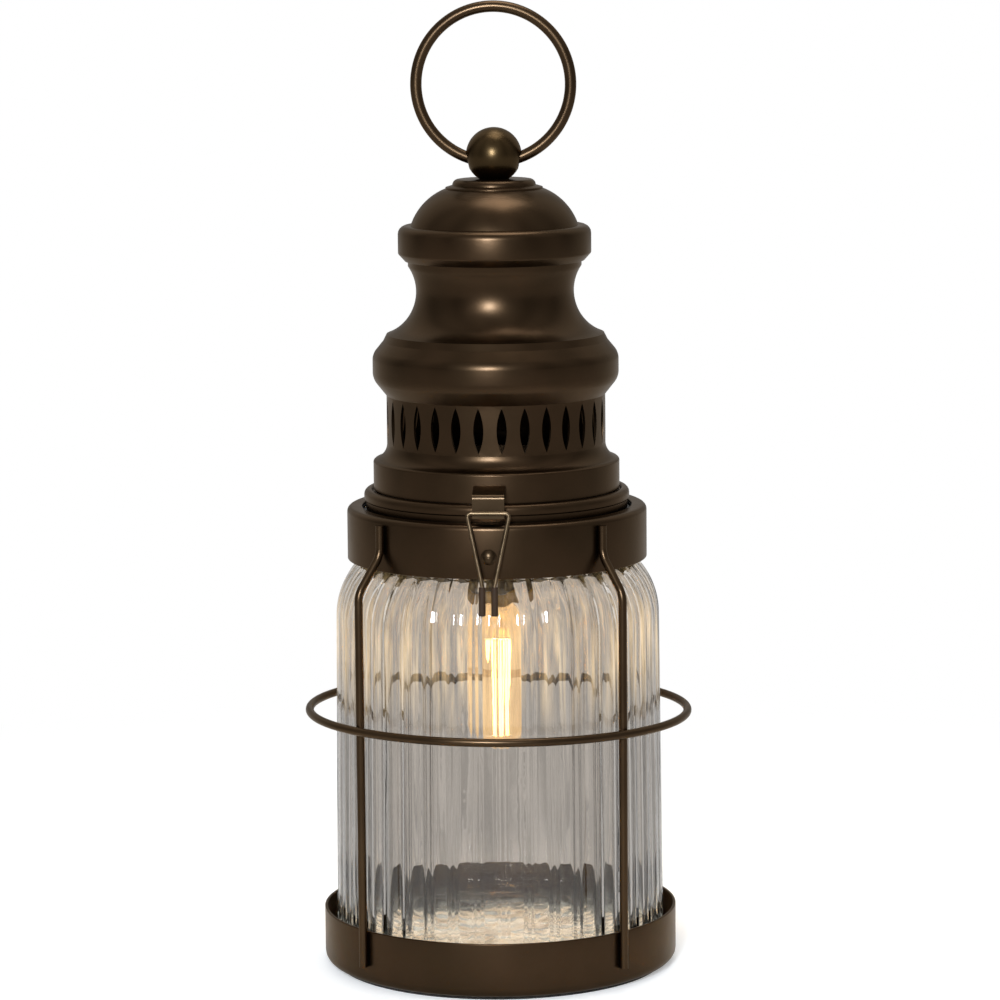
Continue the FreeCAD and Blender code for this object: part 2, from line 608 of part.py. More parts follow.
def glass_jar():
    """Blown jar with a thick base, a round shoulder and a straight neck. Round flutes run up
    the wall and over the shoulder, and die out on the corner of the foot."""
    foot = "jar_radius + jar_draft"
    inner_corner = "jar_corner - jar_wall"
    body = turned_body("glass_jar", [
        ("0", "JAR_BOTTOM"),
        (f"{foot} - jar_corner", "JAR_BOTTOM", "jar_corner", LEFT),
        (foot, "JAR_BOTTOM + jar_corner"),
        ("jar_radius", "SHOULDER", "shoulder_bend", LEFT),
        ("NECK_RADIUS", "NECK_FOOT"),
        ("NECK_RADIUS", "JAR_TOP"),
        ("MOUTH_RADIUS", "JAR_TOP"),
        ("MOUTH_RADIUS", "MOUTH_FOOT", "INNER_BEND", RIGHT),
        ("jar_radius - jar_wall", "SHOULDER"),
        (f"{foot} - jar_wall", f"JAR_BOTTOM + jar_base + {inner_corner}", inner_corner, RIGHT),
        (f"{foot} - jar_corner", "JAR_BOTTOM + jar_base"),
        ("0", "JAR_BOTTOM + jar_base"),
    ])
    path = new_sketch(body, "XZ_Plane")
    sweep = "shoulder_bend + FLUTE_STAND_OFF"
    rise = f"sqrt(pow({sweep}; 2) - pow(NECK_RADIUS - SHOULDER_CENTRE; 2))"
    start = FreeCAD.Vector(number("jar_radius + jar_draft + FLUTE_STAND_OFF"),
                           number("JAR_BOTTOM"), 0)
    knee = FreeCAD.Vector(number("jar_radius + FLUTE_STAND_OFF"), number("SHOULDER"), 0)
    end = FreeCAD.Vector(number("NECK_RADIUS"), number(f"SHOULDER + {rise}"), 0)
    run = path.addGeometry(Part.LineSegment(start, knee), False)
    arc = path.addGeometry(arc_between(knee, end, number(sweep), LEFT), False)
    path.addConstraint(Sketcher.Constraint("Coincident", run, END, arc, START))
    hold_point(path, run, START, "foot", "jar_radius + jar_draft + FLUTE_STAND_OFF",
               "JAR_BOTTOM")
    hold_point(path, arc, START, "shoulder", "jar_radius + FLUTE_STAND_OFF", "SHOULDER")
    hold_point(path, arc, END, "neck", "NECK_RADIUS", f"SHOULDER + {rise}")
    hold(path, "Radius", (arc,), "sweep", sweep)
    section = new_sketch(body, "XY_Plane", "JAR_BOTTOM")
    circle(section, "jar_radius + jar_draft + FLUTE_STAND_OFF", "0", "FLUTE_RADIUS")
    flute = body.newObject("PartDesign::SubtractivePipe", "flute")
    flute.Profile = section
    flute.Spine = path
    flute.Transition = "Right corner"
    pattern = body.newObject("PartDesign::PolarPattern", "flutes")
    pattern.Originals = [flute]
    pattern.Axis = (path, ["V_Axis"])
    pattern.Angle = 360
    pattern.setExpression("Occurrences", formula("flute_count"))
    body.Tip = pattern
    return body


def mouth_gasket():
    """Flat rubber ring squeezed between the jar's rim and the collar's top."""
    inside, outside = "FLANGE_RADIUS + lid_seat_gap", "COLLAR_RADIUS - collar_round"
    return turned_body("mouth_gasket", box_corners(inside, outside, "JAR_TOP",
                                                   "COLLAR_UNDERSIDE"))


def collar():
    """Pressed collar round the neck, with a round top edge turned in over the mouth."""
    inner_bend = "collar_round - collar_wall"
    body = turned_body("collar", [
        ("COLLAR_RADIUS", "COLLAR_EDGE"),
        ("COLLAR_RADIUS", "COLLAR_TOP - collar_round", "collar_round", LEFT),
        ("COLLAR_RADIUS - collar_round", "COLLAR_TOP"),
        ("COLLAR_OPENING", "COLLAR_TOP"),
        ("COLLAR_OPENING", "COLLAR_UNDERSIDE"),
        ("COLLAR_RADIUS - collar_round", "COLLAR_UNDERSIDE", inner_bend, RIGHT),
        ("COLLAR_INSIDE", "COLLAR_TOP - collar_round"),
        ("COLLAR_INSIDE", "COLLAR_EDGE"),
    ])
    rivets = [("0", "COLLAR_EDGE + rivet_rise"), ("0", "COLLAR_EDGE + rivet_rise + rivet_pitch")]
    drill(body, "XZ_Plane", rivets, "rivet_shank", "COLLAR_RADIUS + collar_wall")
    drill(body, "XZ_Plane", [("0", "STUD_HEIGHT")], "rivet_shank",
          "COLLAR_RADIUS + collar_wall", backwards=True)
    return body


# --- wire cage ------------------------------------------------------------------------------

def upright(label, quarter):
    """Bent wire soldered to the collar's face and the pan's wall."""
    body = new_body(label)
    path = new_sketch(body, "XZ_Plane")
    route(path, [
        ("UPRIGHT_TOP_RADIUS", "UPRIGHT_TOP"),
        ("UPRIGHT_TOP_RADIUS", "COLLAR_EDGE + upper_knee"),
        ("UPRIGHT_FOOT_RADIUS", "COLLAR_EDGE - lower_knee"),
        ("UPRIGHT_FOOT_RADIUS", "PAN_BOTTOM + upright_foot"),
    ], "cage_bend")
    section = new_sketch(body, "XY_Plane", "UPRIGHT_TOP")
    circle(section, "UPRIGHT_TOP_RADIUS", "0", "cage_wire / 2")
    wire = body.newObject("PartDesign::AdditivePipe", label + "_wire")
    wire.Profile = section
    wire.Spine = path
    turn_placement(body, "Z", f"first_upright - 90 + {quarter} * 90")
    return body


def guard_hoop():
    return torus("guard_hoop", "HOOP_RADIUS", "hoop_wire", "hoop_height")


def rivet(label, head, head_height, base_radius, grip, up, rear):
    """Domed rivet through the collar's wall, drawn along Z and laid flat by its placement."""
    dome = f"(pow({head}; 2) + pow({head_height}; 2)) / (2 * {head_height})"
    body = turned_body(label, [
        ("0", f"-{grip} - rivet_tail"),
        ("1.5 * rivet_shank", f"-{grip} - rivet_tail"),
        ("1.5 * rivet_shank", f"-{grip}"),
        ("rivet_shank", f"-{grip}"),
        ("rivet_shank", "0"),
        (head, "0", dome, LEFT),
        ("0", head_height),
    ])
    angle, side = ("-90", "") if rear else ("90", "-")
    turn_placement(body, "X", angle)
    move_placement(body, depth=f"{side}({base_radius})", up=up)
    return body


def latch_stud():
    """Domed stud on the collar's face, between the legs of the latch."""
    return rivet("latch_stud", "stud_radius", "stud_height", "COLLAR_RADIUS", "collar_wall",
                 "STUD_HEIGHT", rear=False)


# --- hinge ----------------------------------------------------------------------------------

def collar_hinge_leaf():
    """Leaf riveted to the back of the collar, with a knuckle at each side."""
    body = new_body("collar_hinge_leaf")
    inner, outer = "COLLAR_INSIDE", "COLLAR_RADIUS + strap_thickness"
    pad(body, "YZ_Plane", box_corners(inner, outer, "LEAF_BOTTOM", "HINGE_PIVOT"),
        "2 * KNUCKLE_END", midplane=True)
    barrel = new_sketch(body, "YZ_Plane")
    circle(barrel, "HINGE_OUT", "HINGE_PIVOT", "HINGE_KNUCKLE")
    extrude(body, barrel, "2 * KNUCKLE_END", midplane=True)
    reach = "(HINGE_KNUCKLE + hinge_side_gap)"
    pocket(body, "YZ_Plane", box_corners("COLLAR_INSIDE - 1", f"HINGE_OUT + {reach}",
                                         f"HINGE_PIVOT - {reach}", f"HINGE_PIVOT + {reach}"),
           "2 * KNUCKLE_START", midplane=True)
    drill(body, "YZ_Plane", [("HINGE_OUT", "HINGE_PIVOT")], "pin_radius",
          "2 * KNUCKLE_END + 1", midplane=True)
    drill(body, "XY_Plane", [("0", "0")], "COLLAR_RADIUS", "2 * HINGE_PIVOT", midplane=True)
    rivets = [("0", "COLLAR_EDGE + rivet_rise"), ("0", "COLLAR_EDGE + rivet_rise + rivet_pitch")]
    drill(body, "XZ_Plane", rivets, "rivet_shank", "2 * COLLAR_RADIUS")
    return body


def hinge_rivets():
    places = ["COLLAR_EDGE + rivet_rise", "COLLAR_EDGE + rivet_rise + rivet_pitch"]
    rivets = [rivet(f"hinge_rivet_{index}", "rivet_head", "rivet_head_height",
                    "COLLAR_RADIUS + strap_thickness", "(collar_wall + strap_thickness)",
                    place, rear=True)
              for index, place in enumerate(places)]
    return group("hinge_rivets", rivets)


def hinge_pin():
    """Pin with a flattened head outside each end knuckle."""
    body = turned_body("hinge_pin", [
        ("0", "-KNUCKLE_END - pin_head_height"),
        ("pin_head", "-KNUCKLE_END - pin_head_height"),
        ("pin_head", "-KNUCKLE_END"),
        ("pin_radius", "-KNUCKLE_END"),
        ("pin_radius", "KNUCKLE_END"),
        ("pin_head", "KNUCKLE_END"),
        ("pin_head", "KNUCKLE_END + pin_head_height"),
        ("0", "KNUCKLE_END + pin_head_height"),
    ])
    turn_placement(body, "Y", "90")
    move_placement(body, depth="HINGE_OUT", up="HINGE_PIVOT")
    return body


def strap(label, out, pivot, knuckle, bore, width, turned):
    """Strip soldered to the drum that runs out over the rim and down into a knuckle."""
    body = new_body(label)
    path = new_sketch(body, "YZ_Plane")
    lip = f"{out} - {knuckle} + strap_thickness / 2"
    route(path, [
        ("STRAP_MIDDLE", "STRAP_FOOT"),
        ("STRAP_MIDDLE", "SHELF"),
        (f"{lip} - shelf_set_back", "SHELF - shelf_fall"),
        (lip, pivot),
    ], "strap_bend")
    section = new_sketch(body, "XY_Plane", "STRAP_FOOT")
    half = f"{width} / 2"
    outline(section, box_corners(f"-{half}", half, "DRUM_RADIUS", "DRUM_RADIUS + strap_thickness"))
    strip = body.newObject("PartDesign::AdditivePipe", label + "_strip")
    strip.Profile = section
    strip.Spine = path
    barrel = new_sketch(body, "YZ_Plane")
    circle(barrel, out, pivot, knuckle)
    extrude(body, barrel, width, midplane=True)
    drill(body, "YZ_Plane", [(out, pivot)], bore, f"{width} + 1", midplane=True)
    if turned:
        turn_placement(body, "Z", "180")
    return body


def latch_tab():
    """Hook that the latch's wire snaps into from the front."""
    body = strap("latch_tab", "LATCH_OUT", "LATCH_PIVOT", "LATCH_KNUCKLE", "LATCH_BORE",
                 "tab_width", turned=True)
    reach = "2 * LATCH_KNUCKLE"
    pocket(body, "YZ_Plane", box_corners("LATCH_OUT + latch_opening", f"LATCH_OUT + {reach}",
                                         f"LATCH_PIVOT - {reach}", f"LATCH_PIVOT + {reach}"),
           "tab_width + 1", midplane=True)
    return body


def lid_hinge_leaf():
    return strap("lid_hinge_leaf", "HINGE_OUT", "HINGE_PIVOT", "HINGE_KNUCKLE", "HINGE_BORE",
                 "hinge_leaf_width", turned=False)


# --- chimney --------------------------------------------------------------------------------

def lid_rim():
    """Spun ring: a skirt inside the collar's opening under a round bead."""
    bead = "rim_height / 2"
    return turned_body("lid_rim", [
        ("SKIRT_RADIUS - lid_wall", "SKIRT_EDGE"),
        ("SKIRT_RADIUS", "SKIRT_EDGE"),
        ("SKIRT_RADIUS", "RIM_BOTTOM"),
        ("RIM_RADIUS", "RIM_BOTTOM + rim_lap"),
        ("RIM_RADIUS", f"RIM_TOP - {bead}", bead, LEFT),
        (f"RIM_RADIUS - {bead}", "RIM_TOP"),
        ("DRUM_RADIUS - lid_wall", "RIM_TOP"),
        ("DRUM_RADIUS - lid_wall", "RIM_TOP - lid_wall"),
        ("SKIRT_RADIUS - lid_wall", "RIM_TOP - 2 * lid_wall"),
    ])


def lid_drum():
    """Straight drum that flares in, in a hollow sweep, to the slotted gallery."""
    inner_bend = "flare_bend + lid_wall"
    return turned_body("lid_drum", [
        ("DRUM_RADIUS - lid_wall", "RIM_TOP"),
        ("DRUM_RADIUS", "RIM_TOP"),
        ("DRUM_RADIUS", "DRUM_TOP"),
        ("DRUM_RADIUS - lid_wall / 2", "DRUM_TOP + lid_wall / 2", "flare_bend", RIGHT),
        ("GALLERY_RADIUS", "GALLERY_BOTTOM"),
        ("GALLERY_RADIUS - lid_wall", "GALLERY_BOTTOM", inner_bend, LEFT),
        ("DRUM_RADIUS - lid_wall", "DRUM_TOP - lid_wall / 2"),
    ])


def vent_gallery():
    """Band pierced all round with pointed slots, each the overlap of two circles."""
    body = turned_body("vent_gallery", box_corners("GALLERY_RADIUS - lid_wall", "GALLERY_RADIUS",
                                                   "GALLERY_BOTTOM", "GALLERY_TOP"))
    sketch = new_sketch(body, "XZ_Plane")
    outline(sketch, [
        ("0", "GALLERY_MIDDLE - slot_height / 2", "SLOT_BEND", LEFT),
        ("0", "GALLERY_MIDDLE + slot_height / 2", "SLOT_BEND", LEFT),
    ])
    slot = extrude(body, sketch, "GALLERY_RADIUS + lid_wall", "PartDesign::Pocket")
    repeat_round(body, slot, "slot_count")
    turn_placement(body, "Z", "180 / slot_count")
    return body


def chimney_neck():
    """Spun neck: a bulging band above the gallery, then a cone and a hollow sweep up to the
    sleeve that carries the cap."""
    wall = "lid_wall"
    return turned_body("chimney_neck", [
        ("GALLERY_RADIUS", "GALLERY_TOP"),
        ("BULGE_RADIUS", "BULGE_BOTTOM"),
        ("BULGE_RADIUS", "BULGE_TOP"),
        ("CONE_RADIUS", "CONE_TOP"),
        ("COVE_RADIUS", "COVE_FOOT", "cove_bend", RIGHT),
        ("throat_radius", "COVE_TOP"),
        ("throat_radius", "COVE_TOP + spigot_height"),
        (f"throat_radius - {wall}", "COVE_TOP + spigot_height"),
        (f"throat_radius - {wall}", "COVE_TOP", f"cove_bend + {wall}", LEFT),
        (f"COVE_RADIUS - {wall}", f"COVE_FOOT - {wall} / 2"),
        (f"CONE_RADIUS - {wall}", f"CONE_TOP - {wall} / 2"),
        (f"BULGE_RADIUS - {wall}", f"BULGE_TOP - {wall} / 3"),
        (f"BULGE_RADIUS - {wall}", f"BULGE_BOTTOM + {wall} / 3"),
        (f"GALLERY_RADIUS - {wall}", "GALLERY_TOP"),
    ])


def chimney_cap():
    """Pressed cap: a dome on a wide band whose lower edge is turned in to the neck."""
    wall = "lid_wall"
    edge = "band_round"
    return turned_body("chimney_cap", [
        ("screw_radius", "DOME_TOP - lid_wall"),
        ("cup_radius", "DOME_TOP - lid_wall", f"dome_bend - {wall}", RIGHT),
        (f"DOME_RADIUS - {wall}", f"BAND_TOP - {wall}"),
        (f"BAND_RADIUS - {wall}", f"BAND_TOP - {wall}"),
        (f"BAND_RADIUS - {wall}", f"BAND_BOTTOM + {wall} / 2"),
        ("throat_radius", f"CAP_EDGE + {wall}"),
        ("throat_radius", "CAP_EDGE"),
        ("throat_radius + cap_lip", "CAP_EDGE"),
        ("BAND_RADIUS", "BAND_BOTTOM"),
        ("BAND_RADIUS", f"BAND_TOP - {edge}", edge, LEFT),
        (f"BAND_RADIUS - {edge}", "BAND_TOP"),
        ("DOME_RADIUS", "BAND_TOP", "dome_bend", LEFT),
        ("cup_radius", "DOME_TOP"),
        ("screw_radius", "DOME_TOP"),
    ])


def finial_cup():
    """Stepped washer that the ball stands on."""
    return turned_body("finial_cup", [
        ("screw_radius", "DOME_TOP"),
        ("cup_radius", "DOME_TOP"),
        ("cup_radius - cup_step", "DOME_TOP + cup_brim", "cup_round", LEFT),
        ("cup_radius - cup_step - cup_round", "CUP_TOP"),
        ("screw_radius", "CUP_TOP"),
    ])


def ball_finial():
    """Turned ball with a cross hole for the carry ring and a blind hole for its screw."""
    body = turned_body("ball_finial", [
        ("0", "CUP_TOP"),
        ("ball_foot", "CUP_TOP", "ball_radius", LEFT),
        ("0", "BALL_CENTRE + ball_radius"),
    ])
    drill(body, "YZ_Plane", [("0", "RING_HOLE")], "RING_HOLE_RADIUS", "4 * ball_radius",
          midplane=True)
    drill(body, "XY_Plane", [("0", "0")], "screw_radius", "screw_reach", "CUP_TOP",
          backwards=True)
    return body


def finial_screw():
    """Screw from inside the dome into the ball."""
    return turned_body("finial_screw", [
        ("0", "DOME_TOP - lid_wall - screw_head_height"),
        ("screw_head", "DOME_TOP - lid_wall - screw_head_height"),
        ("screw_head", "DOME_TOP - lid_wall"),
        ("screw_radius", "DOME_TOP - lid_wall"),
        ("screw_radius", "CUP_TOP + screw_reach"),
        ("0", "CUP_TOP + screw_reach"),
    ])


def carry_ring():
    return torus("carry_ring", "ring_radius", "ring_wire", "RING_CENTRE", axis="Y")


# --- latch clip -----------------------------------------------------------------------------

def lean_out(body):
    """Hang a piece of the clip from the latch pivot, with its legs leaning outwards."""
    turn_placement(body, "X", "-latch_lean")
    move_placement(body, depth="-LATCH_OUT", up="LATCH_PIVOT")


def latch_wire():
    """Spring wire bent into a loop: a bar in the tab's knuckle, legs that draw in, and
    straight ends in the sleeves."""
    body = new_body("latch_wire")
    path = new_sketch(body, "XZ_Plane")
    end = "-latch_length - sleeve_length + sleeve_cover"
    route(path, [
        ("-leg_gap / 2", end),
        ("-leg_gap / 2", "-latch_length"),
        ("-LEG_TOP", "0"),
        ("LEG_TOP", "0"),
        ("leg_gap / 2", "-latch_length"),
        ("leg_gap / 2", end),
    ], "latch_bend")
    section = new_sketch(body, "XY_Plane", end)
    circle(section, "-leg_gap / 2", "0", "latch_wire_size / 2")
    wire = body.newObject("PartDesign::AdditivePipe", "latch_loop")
    wire.Profile = section
    wire.Spine = path
    lean_out(body)
    return body


def latch_sleeves():
    """Grip sleeves over the ends of the legs, closed at the bottom."""
    sleeves = []
    for name, side in (("left", "-"), ("right", "")):
        body = turned_body(f"latch_sleeve_{name}", [
            ("0", "-latch_length - sleeve_length"),
            ("latch_wire_size / 2 + sleeve_wall", "-latch_length - sleeve_length"),
            ("latch_wire_size / 2 + sleeve_wall", "-latch_length - latch_bend / 3"),
            ("latch_wire_size / 2", "-latch_length - latch_bend / 3"),
            ("latch_wire_size / 2", "-latch_length - sleeve_length + sleeve_cover"),
            ("0", "-latch_length - sleeve_length + sleeve_cover"),
        ])
        move_placement(body, across=f"{side}leg_gap / 2")
        sleeves.append(body)
    pair = group("latch_sleeves", sleeves)
    lean_out(pair)
    return pair


# --- battery case ---------------------------------------------------------------------------

def cell_places():
    middle = (number("cell_count") - 1) / 2
    return [f"{index - middle} * cell_pitch" for index in range(int(number("cell_count")))]


def battery_case():
    """Moulded case that hangs by its flange in the jar's mouth, with troughs for the cells, a
    seat for the door and a recess for the switch."""
    body = turned_body("battery_case", [
        ("0", "CASE_BOTTOM"),
        ("CASE_RADIUS - case_round", "CASE_BOTTOM", "case_round", LEFT),
        ("CASE_RADIUS", "CASE_BOTTOM + case_round"),
        ("CASE_RADIUS", "JAR_TOP"),
        ("FLANGE_RADIUS", "JAR_TOP"),
        ("FLANGE_RADIUS", "FLANGE_TOP"),
        ("CASE_RADIUS", "FLANGE_TOP"),
        ("CASE_RADIUS", "CASE_TOP - case_round", "case_round", LEFT),
        ("CASE_RADIUS - case_round", "CASE_TOP"),
        ("0", "CASE_TOP"),
    ])
    pocket(body, "XY_Plane", rounded_box("(DOOR_LENGTH / 2 + door_clearance)",
                                         "(DOOR_WIDTH / 2 + door_clearance)",
                                         "(door_corner + door_clearance)"),
           "CASE_TOP - DOOR_SEAT", "CASE_TOP")
    half_width = "POCKET_WIDTH / 2"
    pocket(body, "XY_Plane", box_corners("-POCKET_END", "POCKET_END", "-" + half_width, half_width),
           "DOOR_SEAT - CELL_AXIS", "DOOR_SEAT")
    troughs = [(place, "CELL_AXIS") for place in cell_places()]
    drill(body, "YZ_Plane", troughs, "TROUGH_RADIUS", "POCKET_LENGTH", midplane=True)
    half_slot = "(switch_length / 2 + switch_clearance)"
    half_gap = "(switch_width / 2 + switch_clearance)"
    pocket(body, "XY_Plane",
           box_corners("-" + half_slot, half_slot + " + switch_travel",
                       "switch_set_back - " + half_gap, "switch_set_back + " + half_gap),
           "switch_depth", "CASE_TOP")
    screws = [("-holder_screw_place", "0"), ("holder_screw_place", "0")]
    drill(body, "XY_Plane", screws, "holder_screw_radius",
          "holder_screw_length - holder_flange_height", "CASE_BOTTOM", backwards=True)
    return body


def facing(index):
    """Which way a cell's button points: neighbours are turned about, so they run in series."""
    return "" if index % 2 == 0 else "-"


def battery_cells():
    cells = []
    for index, place in enumerate(cell_places()):
        body = turned_body(f"battery_cell_{index}", [
            ("0", "spring_space"),
            ("cell_radius", "spring_space"),
            ("cell_radius", "spring_space + cell_length - cell_button_height"),
            ("cell_button", "spring_space + cell_length - cell_button_height"),
            ("cell_button", "spring_space + cell_length"),
            ("0", "spring_space + cell_length"),
        ])
        turn_placement(body, "Y", facing(index) + "90")
        move_placement(body, "-POCKET_END" if facing(index) == "" else "POCKET_END", place,
                       "CELL_AXIS - cell_clearance")
        cells.append(body)
    return group("battery_cells", cells)


def contact_plates():
    plates = []
    for index, place in enumerate(cell_places()):
        middle = f"{facing(index)}(POCKET_END - contact_thickness / 2)"
        plates.append(block(f"contact_plate_{index}", "contact_thickness", "contact_width",
                            "2 * cell_radius - 2 * cell_button", middle, place,
                            "CELL_AXIS - cell_radius + cell_button"))
    return group("contact_plates", plates)


def contact_springs():
    """Leaf springs bowed from the end of the pocket to the flat end of each cell."""
    springs = []
    for index, place in enumerate(cell_places()):
        body = new_body(f"contact_spring_{index}")
        low, high = "-cell_radius / 2", "cell_radius / 2"
        pad(body, "XZ_Plane", [
            ("0", low), ("contact_thickness", low),
            ("spring_space", "-contact_thickness"), ("spring_space", "contact_thickness"),
            ("contact_thickness", high), ("0", high),
        ], "contact_width", midplane=True)
        if facing(index) == "-":
            turn_placement(body, "Z", "180")
        move_placement(body, "-POCKET_END" if facing(index) == "" else "POCKET_END", place,
                       "CELL_AXIS")
        springs.append(body)
    return group("contact_springs", springs)


def battery_door():
    """Lift-off door with two grip bars."""
    body = new_body("battery_door")
    pad(body, "XY_Plane", rounded_box("(DOOR_LENGTH / 2)", "(DOOR_WIDTH / 2)", "door_corner"),
        "door_thickness", "DOOR_BOTTOM")
    half_bar = "door_grip_length / 2"
    for side in ("-", ""):
        middle = f"{side}door_grip_pitch / 2"
        pad(body, "XY_Plane", box_corners("-" + half_bar, half_bar,
                                          f"{middle} - door_grip_width / 2",
                                          f"{middle} + door_grip_width / 2"),
            "door_grip_height", "CASE_TOP")
    return body


def power_switch():
    """Sliding button in its recess, with a ridge across its top."""
    body = new_body("power_switch")
    half_length, half_width = "switch_length / 2", "switch_width / 2"
    low, high = f"switch_set_back - {half_width}", f"switch_set_back + {half_width}"
    base = "SWITCH_FLOOR + switch_clearance"
    pad(body, "XY_Plane", box_corners("-" + half_length, half_length, low, high),
        "switch_height / 2", base)
    pad(body, "XY_Plane", box_corners("-switch_length / 6", "switch_length / 6", low, high),
        "switch_height", base)
    return body


# --- lampholder and bulb --------------------------------------------------------------------

def lamp_holder():
    """Moulded holder under the case, with a flange for its two screws."""
    body = turned_body("lamp_holder", [
        ("0", "CASE_BOTTOM"),
        ("0", "SHELL_TOP"),
        ("SHELL_RADIUS", "SHELL_TOP"),
        ("SHELL_RADIUS", "HOLDER_MOUTH"),
        ("holder_radius", "HOLDER_MOUTH"),
        ("holder_radius", "HOLDER_FLANGE_BOTTOM"),
        ("holder_flange", "HOLDER_FLANGE_BOTTOM"),
        ("holder_flange", "CASE_BOTTOM"),
    ])
    screws = [("-holder_screw_place", "0"), ("holder_screw_place", "0")]
    drill(body, "XY_Plane", screws, "holder_screw_radius", "2 * holder_flange_height",
          "CASE_BOTTOM", midplane=True)
    return body


def holder_ring():
    """Ring screwed on round the holder's mouth."""
    return turned_body("holder_ring", box_corners(
        "holder_radius", "holder_ring_radius", "HOLDER_MOUTH",
        "HOLDER_MOUTH + holder_ring_height"))


def holder_screws():
    screws = []
    for name, side in (("left", "-"), ("right", "")):
        body = turned_body(f"holder_screw_{name}", [
            ("0", "HOLDER_FLANGE_BOTTOM - holder_screw_radius"),
            ("holder_screw_head", "HOLDER_FLANGE_BOTTOM - holder_screw_radius"),
            ("holder_screw_head", "HOLDER_FLANGE_BOTTOM"),
            ("holder_screw_radius", "HOLDER_FLANGE_BOTTOM"),
            ("holder_screw_radius", "HOLDER_FLANGE_BOTTOM + holder_screw_length"),
            ("0", "HOLDER_FLANGE_BOTTOM + holder_screw_length"),
        ])
        move_placement(body, across=f"{side}holder_screw_place")
        screws.append(body)
    return group("holder_screws", screws)


def holder_shell():
    return turned_body("holder_shell", box_corners("SHELL_INSIDE", "SHELL_RADIUS",
                                                   "HOLDER_MOUTH", "SHELL_TOP"))


def bulb_cap():
    """Metal cap of the bulb, open below where it grips the glass neck."""
    return turned_body("bulb_cap", [
        ("0", "BULB_CAP_TOP"),
        ("0", "BULB_CAP_TOP - bulb_cap_wall"),
        ("BULB_NECK", "BULB_CAP_TOP - 2 * bulb_cap_wall"),
        ("BULB_NECK", "HOLDER_MOUTH"),
        ("bulb_cap_radius", "HOLDER_MOUTH"),
        ("bulb_cap_radius", "BULB_CAP_TOP - 2 * bulb_cap_wall"),
        ("bulb_cap_radius / 2", "BULB_CAP_TOP"),
    ])


def bulb_glass():
    """Tubular envelope with a sloped shoulder and a round tip."""
    wall = "bulb_wall"
    neck_end = "HOLDER_MOUTH + bulb_cap_height / 3"
    return turned_body("bulb_glass", [
        ("0", "BULB_TIP", "bulb_radius", LEFT),
        ("bulb_radius", "BULB_TIP + bulb_radius"),
        ("bulb_radius", "BULB_SHOULDER", "bulb_shoulder_bend", LEFT),
        ("BULB_NECK", "BULB_NECK_FOOT"),
        ("BULB_NECK", neck_end),
        (f"BULB_NECK - {wall}", neck_end),
        (f"BULB_NECK - {wall}", "BULB_NECK_FOOT", f"bulb_shoulder_bend - {wall}", RIGHT),
        (f"bulb_radius - {wall}", f"BULB_SHOULDER - {wall} / 2"),
        (f"bulb_radius - {wall}", "BULB_TIP + bulb_radius", f"bulb_radius - {wall}", RIGHT),
        ("0", f"BULB_TIP + {wall}"),
    ])


def bulb_stem():
    """Glass stem sealed in the neck by its flare."""
    return turned_body("bulb_stem", [
        ("0", "STEM_BOTTOM"),
        ("stem_radius", "STEM_BOTTOM"),
        ("stem_radius", "STEM_TOP - stem_flare"),
        ("BULB_NECK - bulb_wall", "STEM_TOP"),
        ("BULB_NECK - bulb_wall", "STEM_TOP + bulb_wall"),
        ("0", "STEM_TOP + bulb_wall"),
    ])


def filament_leads():
    """Crossed wires above and below the light sticks."""
    crosses = []
    reach = "(filament_circle + filament_radius)"
    for name, level in (("upper", "STEM_BOTTOM - lead_wire / 2"),
                        ("lower", "FILAMENT_BOTTOM - lead_wire / 2")):
        wires = [cylinder(f"{name}_lead_{axis}", "lead_wire / 2", f"2 * {reach}",
                          f"-{reach}" if axis == "X" else "0",
                          f"-{reach}" if axis == "Y" else "0", level, axis=axis)
                 for axis in ("X", "Y")]
        crosses.append(group(f"{name}_leads", wires, "Part::MultiFuse"))
    return group("filament_leads", crosses)


def led_filaments():
    sticks = []
    for index in range(int(number("filament_count"))):
        angle = f"{index} * 360 / filament_count"
        sticks.append(cylinder(f"led_filament_{index}", "filament_radius", "filament_length",
                               f"filament_circle * cos(({angle}) * 1 deg)",
                               f"filament_circle * sin(({angle}) * 1 deg)", "FILAMENT_BOTTOM"))
    return group("led_filaments", sticks)


NODES = [
    felt_foot(), base_pan(), jar_seat(), glass_jar(), mouth_gasket(), collar(),
    upright("upright_front_right", 0), upright("upright_rear_right", 1),
    upright("upright_rear_left", 2), upright("upright_front_left", 3),
    guard_hoop(), latch_stud(), collar_hinge_leaf(), hinge_rivets(), hinge_pin(),
    lid_rim(), lid_drum(), vent_gallery(), chimney_neck(), chimney_cap(), finial_cup(),
    ball_finial(), finial_screw(), latch_tab(), lid_hinge_leaf(), carry_ring(),
    latch_wire(), latch_sleeves(),
    battery_case(), battery_cells(), contact_plates(), contact_springs(), battery_door(),
    power_switch(), lamp_holder(), holder_ring(), holder_screws(), holder_shell(),
    bulb_cap(), bulb_glass(), bulb_stem(), filament_leads(), led_filaments(),
]
doc.recompute()

for item in doc.Objects:
    if "Invalid" in item.State or "Error" in item.State:
        raise RuntimeError(f"{item.Label} failed: {item.State}")
for node in NODES:
    if node.Shape.isNull() or not node.Shape.isValid() or not node.Shape.Solids:
        raise RuntimeError(f"{node.Label} has no valid solid")

os.makedirs("parts", exist_ok=True)
for node in NODES:
    node.Shape.exportStep(os.path.join("parts", node.Label + ".step"))
    print(f"{node.Label}: {len(node.Shape.Solids)} solid(s), {node.Shape.Volume:.0f} mm3")
